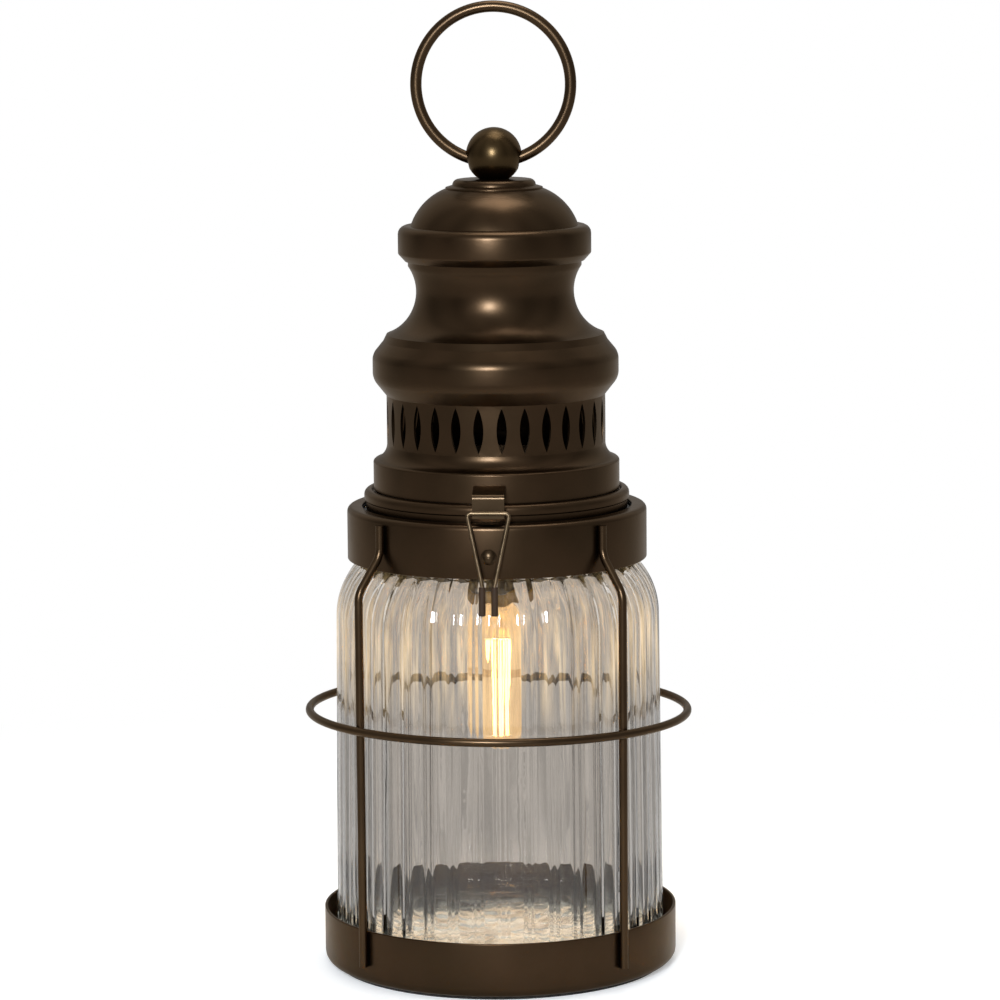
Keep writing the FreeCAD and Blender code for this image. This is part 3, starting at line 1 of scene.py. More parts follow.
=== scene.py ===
"""Looks of the lantern table lamp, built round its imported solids: lacquered bronze sheet and
wire, a fluted pressed-glass jar and a warm tubular bulb.

Outlines are in millimetres, as (radius, height), and every finished mesh is in metres in the
solids' own frame: +Z up, the latch towards -Y.
"""
import json
import math
import bmesh
import bpy
from mathutils import Matrix, Vector, noise


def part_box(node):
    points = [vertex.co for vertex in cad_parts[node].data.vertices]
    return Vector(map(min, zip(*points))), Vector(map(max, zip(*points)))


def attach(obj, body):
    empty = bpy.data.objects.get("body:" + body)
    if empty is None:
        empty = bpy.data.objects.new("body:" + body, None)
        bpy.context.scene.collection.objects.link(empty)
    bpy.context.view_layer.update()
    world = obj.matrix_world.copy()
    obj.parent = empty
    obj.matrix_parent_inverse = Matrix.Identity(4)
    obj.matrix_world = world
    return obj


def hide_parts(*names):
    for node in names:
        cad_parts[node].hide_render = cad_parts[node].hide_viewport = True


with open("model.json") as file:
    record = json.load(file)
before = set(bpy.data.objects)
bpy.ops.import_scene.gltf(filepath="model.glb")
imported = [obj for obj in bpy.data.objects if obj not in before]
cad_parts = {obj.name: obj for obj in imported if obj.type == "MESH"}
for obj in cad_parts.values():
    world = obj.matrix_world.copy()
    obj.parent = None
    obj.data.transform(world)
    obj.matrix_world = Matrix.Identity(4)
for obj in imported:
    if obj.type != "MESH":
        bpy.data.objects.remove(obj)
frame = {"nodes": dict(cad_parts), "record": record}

MM = 0.001
LEFT, RIGHT = 1, -1
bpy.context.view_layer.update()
scene = bpy.context.scene


# --- places read from the solids --------------------------------------------------------------

def extent(node):
    """Largest radius, bottom and top of a round solid, in millimetres."""
    low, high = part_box(node)
    return high.x / MM, low.z / MM, high.z / MM


PAN_RADIUS, PAN_BOTTOM, PAN_RIM = extent("base_pan")
JAR_RADIUS, JAR_BOTTOM, JAR_TOP = extent("glass_jar")
COLLAR_RADIUS, COLLAR_EDGE, COLLAR_TOP = extent("collar")
RIM_RADIUS, SKIRT_EDGE, RIM_TOP = extent("lid_rim")
DRUM_RADIUS, DRUM_FOOT, GALLERY_BOTTOM = extent("lid_drum")
GALLERY_RADIUS, _, GALLERY_TOP = extent("vent_gallery")
BULGE_RADIUS, _, SLEEVE_TOP = extent("chimney_neck")
BAND_RADIUS, CAP_EDGE, DOME_TOP = extent("chimney_cap")
CUP_RADIUS, _, CUP_TOP = extent("finial_cup")
BULB_RADIUS, BULB_TIP, BULB_END = extent("bulb_glass")
_, HOLDER_MOUTH, _ = extent("holder_shell")
CAP_RADIUS, _, _ = extent("bulb_cap")

# Sizes that the solids' boxes can't tell.
SHEET = 0.8                     # chimney, collar and latch hook
HEM = 0.28                      # rolled-over edge of every sheet
PAN_SHEET = 0.9
PAN_CORNER = 2.75
COLLAR_OPENING = 39.0
COLLAR_ROUND = 1.6
THROAT = 25.0                   # radius of the neck's sleeve and the cap's mouth
SCREW_HOLE = 1.5                # in the cap and the washer

JAR_WALL = 2.8
JAR_BASE = 4.5
JAR_CORNER = 10.0
JAR_LIP = 1.2                   # softening of the mouth's edges
SHOULDER_HEIGHT = 98.8          # from the jar's foot
SHOULDER_BEND = 23.2
SHOULDER_RADIUS = JAR_RADIUS - 0.9      # the wall leans in a little
NECK_RADIUS = SHOULDER_RADIUS - 6.7
MOUTH_RADIUS = NECK_RADIUS - 3.9
FLUTES = 40
FLUTE_WIDTH = 5.4
FLUTE_DEPTH = 0.7
FLUTE_FADE = 6.0                # height over which the flutes die out on the neck
FLUTE_FADE_INSIDE = 8.0
FLUTE_SHARE_INSIDE = 0.85       # how much of the flutes' depth the inside follows
WANDER = 0.2                    # slow unevenness of the inside
STREAK = 0.05                   # quick unevenness of the inside, in upright streaks
FOOT_HOLLOW = 0.4               # the foot stands on its edge
FLOOR_EDGE = 36                 # radius of the rippled foot and floor
RIPPLE = 0.25                   # height of the floor's ripples
RIPPLE_LENGTH = 3.2

VENT_SLOTS = 30
SLOT_HEIGHT = 13.0
SLOT_WIDTH = 2.9

WIRE = 2.4                      # cage uprights and hoop
CAGE_BEND = 6.0
HOOP_LIFT = 0.8                 # the hoop sits a little high and askew on its uprights
HOOP_TILT_X = math.radians(-0.83)
HOOP_TILT_Y = math.radians(0.5)
CARRY_WIRE = 3.3

TAB_WIDTH = 9.0
LATCH_WIRE = 1.2
LATCH_LEAN = math.radians(5.2)
LATCH_OUT = COLLAR_RADIUS + 0.8
LATCH_PIVOT = COLLAR_TOP + 3.5

BULB_WALL = 0.6
STICK_WIRE = 1.1
STICK_FOOT_OUT, STICK_HEAD_OUT = 1.0, 2.1       # the sticks lean inwards at the foot

# Where the jar's parts meet, from the sizes above.
SHOULDER = JAR_BOTTOM + SHOULDER_HEIGHT
JAR_FLOOR = JAR_BOTTOM + JAR_BASE
FOOT_END = JAR_BOTTOM + JAR_CORNER
INNER_CORNER = JAR_CORNER - JAR_WALL
INNER_BEND = SHOULDER_BEND - JAR_WALL
BEND_CENTRE = SHOULDER_RADIUS - SHOULDER_BEND
NECK_FOOT = SHOULDER + math.sqrt(SHOULDER_BEND ** 2 - (NECK_RADIUS - BEND_CENTRE) ** 2)
MOUTH_FOOT = SHOULDER + math.sqrt(INNER_BEND ** 2 - (MOUTH_RADIUS - BEND_CENTRE) ** 2)

TURNED_STEPS = 240              # facets round a turned piece
JAR_STEPS = FLUTES * 14         # facets round the jar


# --- mesh tools -------------------------------------------------------------------------------

def sweep(start, end, bend, side, steps=10):
    """Points of the short arc from start to end, with its centre on the given side."""
    start, end = Vector(start), Vector(end)
    chord = end - start
    normal = Vector((-chord.y, chord.x)).normalized() * side
    centre = (start + end) / 2 + normal * math.sqrt(max(bend ** 2 - (chord.length / 2) ** 2, 0))
    turn = 2 * math.asin(min(chord.length / 2 / bend, 1)) * side
    points = []
    for step in range(steps + 1):
        spoke = Matrix.Rotation(turn * step / steps, 2) @ (start - centre)
        points.append(tuple(centre + spoke))
    return points


def draw_outline(bm, corners, closed):
    """Draw edges in the XZ plane. A corner is (radius, height), or (radius, height, bend) where
    it is rounded."""
    verts = [bm.verts.new((corner[0], 0, corner[1])) for corner in corners]
    for first, second in zip(verts, verts[1:]):
        bm.edges.new((first, second))
    if closed:
        bm.edges.new((verts[-1], verts[0]))
    rounded = []
    for index, corner in enumerate(corners):
        if len(corner) == 3:
            before = verts[index - 1].co
            here = verts[index].co
            after = verts[(index + 1) % len(verts)].co
            turn = (here - before).angle(after - here)
            rounded.append((verts[index], corner[2] * math.tan(turn / 2)))
    for vert, reach in rounded:
        bmesh.ops.bevel(bm, geom=[vert], offset=reach, offset_type="OFFSET", segments=5,
                        profile=0.5, affect="VERTICES", material=-1, clamp_overlap=True)
    return bm


def spin_round(bm, steps):
    """Spin an outline about the Z axis into a closed skin that faces outwards."""
    bmesh.ops.spin(bm, geom=bm.verts[:] + bm.edges[:], cent=(0, 0, 0), axis=(0, 0, 1),
                   angle=math.tau, steps=steps, use_merge=True)
    bmesh.ops.remove_doubles(bm, verts=bm.verts, dist=1e-4)
    bmesh.ops.recalc_face_normals(bm, faces=bm.faces)


def place(bm, name, material, body, node, sharp=40.0, matrix=None):
    """Write a mesh drawn in millimetres to a smooth piece in metres, which rides on a body and
    takes the place of a solid. Edges sharper than the given angle stay crisp."""
    if matrix is not None:
        bmesh.ops.transform(bm, matrix=matrix, verts=bm.verts)
    bmesh.ops.scale(bm, vec=(MM, MM, MM), verts=bm.verts)
    for face in bm.faces:
        face.smooth = True
    mesh = bpy.data.meshes.new(name)
    bm.to_mesh(mesh)
    bm.free()
    mesh.set_sharp_from_angle(angle=math.radians(sharp))
    mesh.materials.append(material)
    piece = bpy.data.objects.new(name, mesh)
    scene.collection.objects.link(piece)
    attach(piece, body)
    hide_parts(node)


def turned(name, corners, material, body, node, closed=True, steps=TURNED_STEPS,
           sharp=40.0):
    """Turn an outline about the Z axis. An open outline starts and ends on the axis."""
    bm = draw_outline(bmesh.new(), corners, closed)
    spin_round(bm, steps)
    place(bm, name, material, body, node, sharp)


def wire_ring(name, radius, thickness, height, turn, body, node):
    """A round ring of bronze wire, drawn flat, turned about its middle and raised."""
    bm = bmesh.new()
    bmesh.ops.create_circle(bm, segments=24, radius=thickness / 2)
    bmesh.ops.rotate(bm, verts=bm.verts, cent=(0, 0, 0),
                     matrix=Matrix.Rotation(math.radians(90), 3, "X"))
    bmesh.ops.translate(bm, verts=bm.verts, vec=(radius, 0, 0))
    spin_round(bm, TURNED_STEPS)
    place(bm, name, BRONZE_WIRE, body, node,
          matrix=Matrix.Translation((0, 0, height)) @ turn)


def wire_mesh(points, thickness, matrix, sides):
    """Sweep a round section along points, close its ends, move it and return it as a bmesh."""
    curve = bpy.data.curves.new("wire", "CURVE")
    curve.dimensions = "3D"
    curve.bevel_depth = thickness / 2
    curve.bevel_resolution = sides // 4 - 1
    curve.use_fill_caps = True
    spline = curve.splines.new("POLY")
    spline.points.add(len(points) - 1)
    for point, spot in zip(spline.points, points):
        point.co = (*spot, 1)
    holder = bpy.data.objects.new("wire", curve)
    mesh = bpy.data.meshes.new_from_object(holder)
    bm = bmesh.new()
    bm.from_mesh(mesh)
    bpy.data.objects.remove(holder)
    bpy.data.curves.remove(curve)
    bpy.data.meshes.remove(mesh)
    bmesh.ops.remove_doubles(bm, verts=bm.verts, dist=1e-4)
    bmesh.ops.transform(bm, matrix=matrix, verts=bm.verts)
    return bm


def rounded_route(corners, bend):
    """Points of an open route in the XZ plane whose inner corners are rounded."""
    bm = bmesh.new()
    last = len(corners) - 1
    draw_outline(bm, [(*corner, bend) if 0 < index < last else corner
                      for index, corner in enumerate(corners)], closed=False)
    bm.verts.ensure_lookup_table()
    start = Vector((corners[0][0], 0, corners[0][1]))
    vert = min(bm.verts, key=lambda v: (v.co - start).length)
    points, edge = [vert.co.copy()], None
    while True:
        onward = [e for e in vert.link_edges if e != edge]
        if not onward:
            break
        edge = onward[0]
        vert = edge.other_vert(vert)
        points.append(vert.co.copy())
    bm.free()
    return points


def join(target, other):
    """Add one bmesh to another."""
    mesh = bpy.data.meshes.new("joined")
    other.to_mesh(mesh)
    other.free()
    target.from_mesh(mesh)
    bpy.data.meshes.remove(mesh)


# --- materials --------------------------------------------------------------------------------

def linear(text):
    """An sRGB hex colour as linear RGBA."""
    channels = [int(text[start:start + 2], 16) / 255 for start in (1, 3, 5)]
    return (*(c / 12.92 if c <= 0.04045 else ((c + 0.055) / 1.055) ** 2.4 for c in channels), 1)


def add(tree, kind, inputs=None, **settings):
    """Add a shader node. inputs gives each socket a value, the output that feeds it, or the
    node whose first output does."""
    made = tree.nodes.new("ShaderNode" + kind)
    for key, value in settings.items():
        setattr(made, key, value)
    for socket, value in (inputs or {}).items():
        if isinstance(value, bpy.types.Node):
            value = value.outputs[0]
        if isinstance(value, bpy.types.NodeSocket):
            tree.links.new(value, made.inputs[socket])
        else:
            made.inputs[socket].default_value = value
    return made


def new_material(name):
    """A material without nodes, and its tree."""
    material = bpy.data.materials.new(name)
    material.use_nodes = True
    material.node_tree.nodes.clear()
    return material, material.node_tree


def stripes(tree, position, count):
    """A wave from -1 to 1 that runs the given number of times round the Z axis."""
    share = add(tree, "TexGradient", {"Vector": position}, gradient_type="RADIAL").outputs[1]
    angle = add(tree, "Math", {0: share, 1: math.tau * count}, operation="MULTIPLY")
    return add(tree, "Math", {0: angle}, operation="SINE")


def two_tone(tree, position, scale, first, second, detail=5.0):
    """Noise that blends two colours, with a pattern of the given scale per metre."""
    cloud = add(tree, "TexNoise", {"Vector": position, "Scale": scale, "Detail": detail})
    share = add(tree, "MapRange", {"Value": cloud, "From Min": 0.35, "From Max": 0.65})
    return add(tree, "Mix", {0: share, 6: linear(first), 7: linear(second)},
               data_type="RGBA").outputs[2]


def satin_roughness(tree, position, scale, low, high):
    """Uneven gloss: roughness that wanders between two values."""
    cloud = add(tree, "TexNoise", {"Vector": position, "Scale": scale, "Detail": 4.0})
    return add(tree, "MapRange", {"Value": cloud, "From Min": 0.3, "From Max": 0.7,
                                  "To Min": low, "To Max": high})


def grain_bump(tree, position, scale, depth):
    """Fine relief of the given depth in metres."""
    grain = add(tree, "TexNoise", {"Vector": position, "Scale": scale, "Detail": 3.0})
    return add(tree, "Bump", {"Strength": 1.0, "Distance": depth, "Height": grain})


def bronze_lacquer(name, dark, light, low=0.28, high=0.34):
    """Steel under antique-bronze lacquer: deep brown with a satin metallic sheen, a thin clear
    coat, faint cloudiness about 20 mm across and a slight orange-peel texture 1 mm apart."""
    material, tree = new_material(name)
    position = add(tree, "TexCoord").outputs["Object"]
    peel = grain_bump(tree, position, 900.0, 0.00001)
    lacquer = add(tree, "BsdfPrincipled", {
        "Base Color": two_tone(tree, position, 45.0, dark, light), "Metallic": 1.0,
        "Roughness": satin_roughness(tree, position, 120.0, low, high),
        "Specular Tint": linear("#E8DED2"), "Coat Weight": 0.06, "Coat Roughness": 0.25,
        "Coat IOR": 1.5, "Normal": peel, "Coat Normal": peel})
    add(tree, "OutputMaterial", {"Surface": lacquer})
    return material


def plain_metal(name, first, second, low, high):
    """Bare or plated metal: slightly uneven in tone and gloss, with a satin grain 0.7 mm
    apart."""
    material, tree = new_material(name)
    position = add(tree, "TexCoord").outputs["Object"]
    metal = add(tree, "BsdfPrincipled", {
        "Base Color": two_tone(tree, position, 300.0, first, second), "Metallic": 1.0,
        "Roughness": satin_roughness(tree, position, 600.0, low, high),
        "Normal": grain_bump(tree, position, 1500.0, 0.000006)})
    add(tree, "OutputMaterial", {"Surface": metal})
    return material


def moulded(name, first, second, low, high, shine=0.5):
    """Moulded plastic or rubber: one colour all through, a soft gloss, and the fine grain of a
    spark-eroded mould, 0.5 mm apart."""
    material, tree = new_material(name)
    position = add(tree, "TexCoord").outputs["Object"]
    body = add(tree, "BsdfPrincipled", {
        "Base Color": two_tone(tree, position, 250.0, first, second),
        "IOR": 1.5, "Specular IOR Level": shine,
        "Roughness": satin_roughness(tree, position, 500.0, low, high),
        "Normal": grain_bump(tree, position, 2000.0, 0.00002)})
    add(tree, "OutputMaterial", {"Surface": body})
    return material


def felt_pile(name):
    """Pressed wool felt: a dark, rough pile with no gloss."""
    material, tree = new_material(name)
    position = add(tree, "TexCoord").outputs["Object"]
    felt = add(tree, "BsdfPrincipled", {
        "Base Color": two_tone(tree, position, 1500.0, "#1E1B19", "#38332F", detail=8.0),
        "Roughness": 0.95, "Sheen Weight": 0.3, "IOR": 1.4,
        "Normal": grain_bump(tree, position, 4000.0, 0.0002)})
    add(tree, "OutputMaterial", {"Surface": felt})
    return material


def painted_bulb_glow(tree, position):
    """Colour and strength of a painted glow: emission that stands in for the bulb's light caught
    by the fluted jar, in upright streaks 2 mm wide below and on the shoulder, and as pale painted
    sparkle in the rippled floor."""
    height = add(tree, "SeparateXYZ", {0: position}).outputs["Z"]
    flat = add(tree, "VectorMath", {0: position, 1: (1, 1, 0)}, operation="MULTIPLY")
    radius = add(tree, "VectorMath", {0: flat}, operation="LENGTH").outputs["Value"]

    # Painted glow: upright streaks of the bulb's light on the walls, fading in over the lower
    # wall and out on the shoulder.
    drawn_out = add(tree, "VectorMath", {0: position, 1: (1, 1, 0.07)}, operation="MULTIPLY")
    upright = add(tree, "TexNoise", {"Vector": drawn_out, "Scale": 480.0, "Detail": 2.0})
    streaks = add(tree, "MapRange", {"Value": upright, "From Min": 0.48, "From Max": 0.68})
    growing = add(tree, "MapRange", {"Value": height, "From Min": 0.074, "From Max": 0.092,
                                     "To Min": 0.0, "To Max": 0.3})
    fading = add(tree, "MapRange", {"Value": height, "From Min": 0.100, "From Max": 0.112,
                                    "To Min": 1.0, "To Max": 0.2})
    walls = add(tree, "Math", {0: growing, 1: fading}, operation="MULTIPLY")
    painted_wall_glow = add(tree, "Math", {0: walls, 1: streaks}, operation="MULTIPLY")

    # Painted sparkle: pale light drawn into the jar's foot and floor where the glass would gather
    # light.
    ripples = add(tree, "TexNoise", {"Vector": position, "Scale": 130.0, "Detail": 4.0})
    sparkle = add(tree, "MapRange", {"Value": ripples, "From Min": 0.42, "From Max": 0.64,
                                     "To Min": 0.1, "To Max": 1.0})
    low_down = add(tree, "MapRange", {"Value": height, "From Min": 0.011, "From Max": 0.016,
                                      "To Min": 0.27, "To Max": 0.0})
    within = add(tree, "MapRange", {"Value": radius, "From Min": 0.036, "From Max": 0.044,
                                    "To Min": 1.0, "To Max": 0.0})
    floor = add(tree, "Math", {0: low_down, 1: within}, operation="MULTIPLY")
    painted_floor_glow = add(tree, "Math", {0: floor, 1: sparkle}, operation="MULTIPLY")

    on_floor = add(tree, "MapRange", {"Value": height, "From Min": 0.012, "From Max": 0.020,
                                      "To Min": 1.0, "To Max": 0.0})
    colour = add(tree, "Mix", {0: on_floor, 6: linear("#FFDCA0"), 7: linear("#EDF0E4")},
                 data_type="RGBA").outputs[2]
    strength = add(tree, "Math", {0: painted_wall_glow, 1: painted_floor_glow}, operation="ADD")
    return colour, strength


def glass_output(tree, sockets, lamp_tint):
    """Clear glass that lets lamplight through, so that what it holds is lit."""
    seen = add(tree, "BsdfPrincipled", {"IOR": 1.5, "Transmission Weight": 1.0, **sockets})
    lamplight = add(tree, "BsdfTransparent", {"Color": linear(lamp_tint)})
    shadow_ray = add(tree, "LightPath").outputs["Is Shadow Ray"]
    surface = add(tree, "MixShader", {0: shadow_ray, 1: seen, 2: lamplight})
    add(tree, "OutputMaterial", {"Surface": surface})


def pressed_glass(name):
    """Pressed soda glass, slightly grey: wavy, and with a painted glow of the bulb's light in it.
    """
    material, tree = new_material(name)
    position = add(tree, "TexCoord").outputs["Object"]
    # The emission below is painted light: a glow of the bulb's light drawn into the glass.
    colour, strength = painted_bulb_glow(tree, position)
    glass_output(tree, {
        "Base Color": linear("#E2DDD7"), "Roughness": 0.015,
        "Normal": grain_bump(tree, position, 60.0, 0.00015),
        "Emission Color": colour, "Emission Strength": strength}, "#EEEAE3")
    return material


def drawn_glass(name, tint, lamp_tint, roughness, glow=0.0):
    """Smooth drawn glass. A lit bulb's own envelope has a painted warm glow: emission in the
    glass that stands in for the sticks' light scattered in it.
    """
    material, tree = new_material(name)
    glass_output(tree, {
        "Base Color": linear(tint), "Roughness": roughness,
        "Emission Color": linear("#FFD297"), "Emission Strength": glow}, lamp_tint)
    return material


def lit_phosphor(name):
    """Warm yellow phosphor over the light sticks, glowing."""
    material, tree = new_material(name)
    position = add(tree, "TexCoord").outputs["Object"]
    phosphor = add(tree, "BsdfPrincipled", {
        "Base Color": two_tone(tree, position, 900.0, "#F2B04A", "#FFC76A"),
        "Roughness": 0.5, "Emission Color": linear("#FFCE86"), "Emission Strength": 6.0})
    add(tree, "OutputMaterial", {"Surface": phosphor})
    return material


BRONZE = bronze_lacquer("antique_bronze_lacquer_on_sheet", "#3A2C1D", "#433222")
BRONZE_WIRE = bronze_lacquer("antique_bronze_lacquer_on_wire", "#3E2F20", "#493826", 0.28, 0.36)
BRONZE_SMALL = bronze_lacquer("antique_bronze_lacquer_on_fittings", "#3C2F20", "#4A3A29",
                              0.28, 0.38)
BRONZE_TURNED = bronze_lacquer("antique_bronze_lacquer_on_turned_ball", "#3E301C", "#473722")
SPRING_WIRE = plain_metal("bronzed_spring_wire", "#5E4E3A", "#6E5C46", 0.28, 0.42)
STEEL = plain_metal("zinc_plated_steel_screw", "#8F8D88", "#A5A39D", 0.3, 0.45)
BRASS = plain_metal("drawn_brass_shell", "#A67C38", "#B98D45", 0.2, 0.34)
NICKEL = plain_metal("nickel_plated_contact_strip", "#A9A69E", "#BDBAB2", 0.22, 0.35)
HOLDER_METAL = plain_metal("brassed_holder_ring", "#7A5F2E", "#8E7038", 0.28, 0.4)
CAP_METAL = plain_metal("plated_bulb_cap", "#A9A08E", "#BCB4A2", 0.2, 0.34)
LEAD_METAL = plain_metal("nickel_lead_wire", "#97948C", "#ABA8A0", 0.25, 0.4)
CASE_PLASTIC = moulded("black_abs_case", "#15130F", "#1D1A16", 0.4, 0.55)
SWITCH_PLASTIC = moulded("grey_abs_slider", "#4A4846", "#555350", 0.38, 0.5)
HOLDER_PLASTIC = moulded("dark_phenolic_holder", "#3E3320", "#4A3D26", 0.3, 0.45)
CELL_JACKET = moulded("printed_film_cell_jacket", "#2B2D2F", "#35373A", 0.25, 0.35)
# The seat is real grey rubber, but its tone is drawn far paler than that: painted light standing
# in for the light the jar's glass base gathers onto it.
SEAT_RUBBER = moulded("rubber_seat_lightened_as_painted_light", "#D8D5CD", "#E6E3DB", 0.45, 0.6)
GASKET_RUBBER = moulded("black_rubber_gasket", "#121110", "#1B1A18", 0.6, 0.75)
SLEEVE_RUBBER = moulded("brown_rubber_sleeve", "#2E2014", "#38281A", 0.6, 0.75, shine=0.15)
FELT = felt_pile("pressed_felt_foot")
JAR_GLASS = pressed_glass("pressed_soda_glass")
# The envelope's glow is painted light: the glass emits though only the sticks give light.
BULB_GLASS = drawn_glass("drawn_bulb_glass", "#FBF2DF", "#FBF4E6", 0.01, glow=0.16)
STEM_GLASS = drawn_glass("sealed_stem_glass", "#F0E9DA", "#F4EEE2", 0.02)
PHOSPHOR = lit_phosphor("glowing_phosphor_on_light_sticks")

FINISHES = {
    "foot_felt": FELT, "bronze_sheet": BRONZE, "bronze_wire": BRONZE_WIRE,
    "bronze_small": BRONZE_SMALL, "bronze_turned": BRONZE_TURNED, "seat_rubber": SEAT_RUBBER,
    "gasket_rubber": GASKET_RUBBER, "sleeve_rubber": SLEEVE_RUBBER, "jar_glass": JAR_GLASS,
    "spring_wire": SPRING_WIRE, "screw_steel": STEEL, "case_plastic": CASE_PLASTIC,
    "switch_plastic": SWITCH_PLASTIC, "holder_plastic": HOLDER_PLASTIC,
    "cell_jacket": CELL_JACKET, "contact_metal": NICKEL, "holder_metal": HOLDER_METAL,
    "shell_brass": BRASS, "cap_metal": CAP_METAL, "bulb_glass": BULB_GLASS,
    "stem_glass": STEM_GLASS, "lead_metal": LEAD_METAL, "filament_phosphor": PHOSPHOR,
}


def finish_solids():
    """Give every carried-over solid the material of its slot in the record."""
    slots = {part["node"]: part["material_slot"] for part in frame["record"]["subparts"]}
    for node, solid in frame["nodes"].items():
        material = FINISHES[slots[node]]
        if not solid.material_slots:
            solid.data.materials.append(material)
        for material_slot in solid.material_slots:
            material_slot.material = material


# --- pan, jar and collar ----------------------------------------------------------------------

def make_pan():
    """Pressed pan with a flat floor and a straight wall."""
    floor = PAN_BOTTOM + PAN_SHEET
    inside = PAN_RADIUS - PAN_SHEET
    turned("pressed_pan", [
        (0, PAN_BOTTOM),
        (PAN_RADIUS, PAN_BOTTOM, PAN_CORNER),
        (PAN_RADIUS, PAN_RIM, HEM),
        (inside, PAN_RIM, HEM),
        (inside, floor, PAN_CORNER - PAN_SHEET),
        (0, floor),
    ], BRONZE, "base", "base_pan", closed=False)


def along_line(start, end, steps):
    """Points between two ends, without the ends."""
    return [tuple(Vector(start).lerp(Vector(end), step / steps)) for step in range(1, steps)]


def jar_outline():
    """Section of the jar in three runs: outside from the middle of the foot up to the neck,
    lip, and inside down to the middle of the floor."""
    flutes_end = (NECK_RADIUS, NECK_FOOT + FLUTE_FADE)
    outside = [(radius, JAR_BOTTOM + FOOT_HOLLOW) for radius in range(0, 34, 3)]
    outside += sweep((JAR_RADIUS - JAR_CORNER, JAR_BOTTOM), (JAR_RADIUS, FOOT_END), JAR_CORNER,
                     LEFT, 12)
    outside += along_line((JAR_RADIUS, FOOT_END), (SHOULDER_RADIUS, SHOULDER), 12)
    outside += sweep((SHOULDER_RADIUS, SHOULDER), (NECK_RADIUS, NECK_FOOT), SHOULDER_BEND, LEFT,
                     16)
    outside += along_line((NECK_RADIUS, NECK_FOOT), flutes_end, 4)
    lip = [flutes_end, (NECK_RADIUS, JAR_TOP - JAR_LIP),
           (NECK_RADIUS - 0.4, JAR_TOP - 0.3), (NECK_RADIUS - JAR_LIP, JAR_TOP),
           (MOUTH_RADIUS + JAR_LIP, JAR_TOP), (MOUTH_RADIUS + 0.4, JAR_TOP - 0.3),
           (MOUTH_RADIUS, JAR_TOP - JAR_LIP)]
    inner_shoulder = (SHOULDER_RADIUS - JAR_WALL, SHOULDER)
    inner_foot = (JAR_RADIUS - JAR_WALL, JAR_FLOOR + INNER_CORNER)
    inside = sweep((MOUTH_RADIUS, MOUTH_FOOT), inner_shoulder, INNER_BEND, RIGHT, 12)
    inside += along_line(inner_shoulder, inner_foot, 16)
    inside += sweep(inner_foot, (JAR_RADIUS - JAR_CORNER, JAR_FLOOR), INNER_CORNER, RIGHT, 8)
    inside += [(radius, JAR_FLOOR) for radius in range(35, 0, -2)] + [(0, JAR_FLOOR)]
    return outside, lip, inside


def flute(angle, radius):
    """Depth of the moulded flutes at an angle round the jar, in millimetres."""
    pitch = math.tau / FLUTES
    along = (angle / pitch - round(angle / pitch)) * pitch * radius
    share = min(1.0, abs(along) / (FLUTE_WIDTH / 2))
    return FLUTE_DEPTH * (1 - share ** 2)


def off_the_bend(radius, height):
    """Direction away from the centre of the shoulder's bend, as (radius, height)."""
    return (Vector((radius, height)) - Vector((BEND_CENTRE, SHOULDER))).normalized()


def ripple_floor(vert, radius):
    """Uneven glass in the foot and the floor, which dies out at their edge."""
    fade = min(1.0, (FLOOR_EDGE - radius) / 4)
    spot = Vector((vert.co.x / RIPPLE_LENGTH, vert.co.y / RIPPLE_LENGTH, vert.co.z))
    vert.co.z += RIPPLE * fade * noise.noise(spot)


def cut_flutes(vert, radius, angle, outwards):
    """The flutes cut the outside back. They die out on the foot's corner and on the neck."""
    height = vert.co.z
    if height >= SHOULDER:
        away = off_the_bend(radius, min(height, NECK_FOOT))
        fade = min(1.0, (NECK_FOOT + FLUTE_FADE - height) / FLUTE_FADE)
        depth = flute(angle, SHOULDER_RADIUS)
        vert.co -= (outwards * away.x + Vector((0, 0, away.y))) * depth * fade
    else:
        share = (SHOULDER - height) / (SHOULDER - FOOT_END)
        wall = SHOULDER_RADIUS + (JAR_RADIUS - SHOULDER_RADIUS) * share
        cut = min(radius, wall - flute(angle, JAR_RADIUS))
        vert.co.x, vert.co.y = outwards.x * cut, outwards.y * cut


def press_inside(vert, radius, angle, outwards):
    """The inside follows the flutes and wanders a little, as pressed glass does."""
    height = vert.co.z
    away = Vector((1, 0))
    fade = min(1.0, max(0.0, (height - JAR_FLOOR) / INNER_CORNER))
    if height >= SHOULDER:
        away = off_the_bend(radius, height)
        fade = min(1.0, max(0.0, (MOUTH_FOOT - height) / FLUTE_FADE_INSIDE))
    depth = FLUTE_SHARE_INSIDE * fade * flute(angle, SHOULDER_RADIUS)
    wander = Vector((outwards.x * 2.4, outwards.y * 2.4, height / 45))
    streaks = Vector((outwards.x * 22, outwards.y * 22, height / 80))
    depth -= WANDER * noise.noise(wander) + STREAK * noise.noise(streaks)
    vert.co -= (outwards * away.x + Vector((0, 0, away.y))) * depth


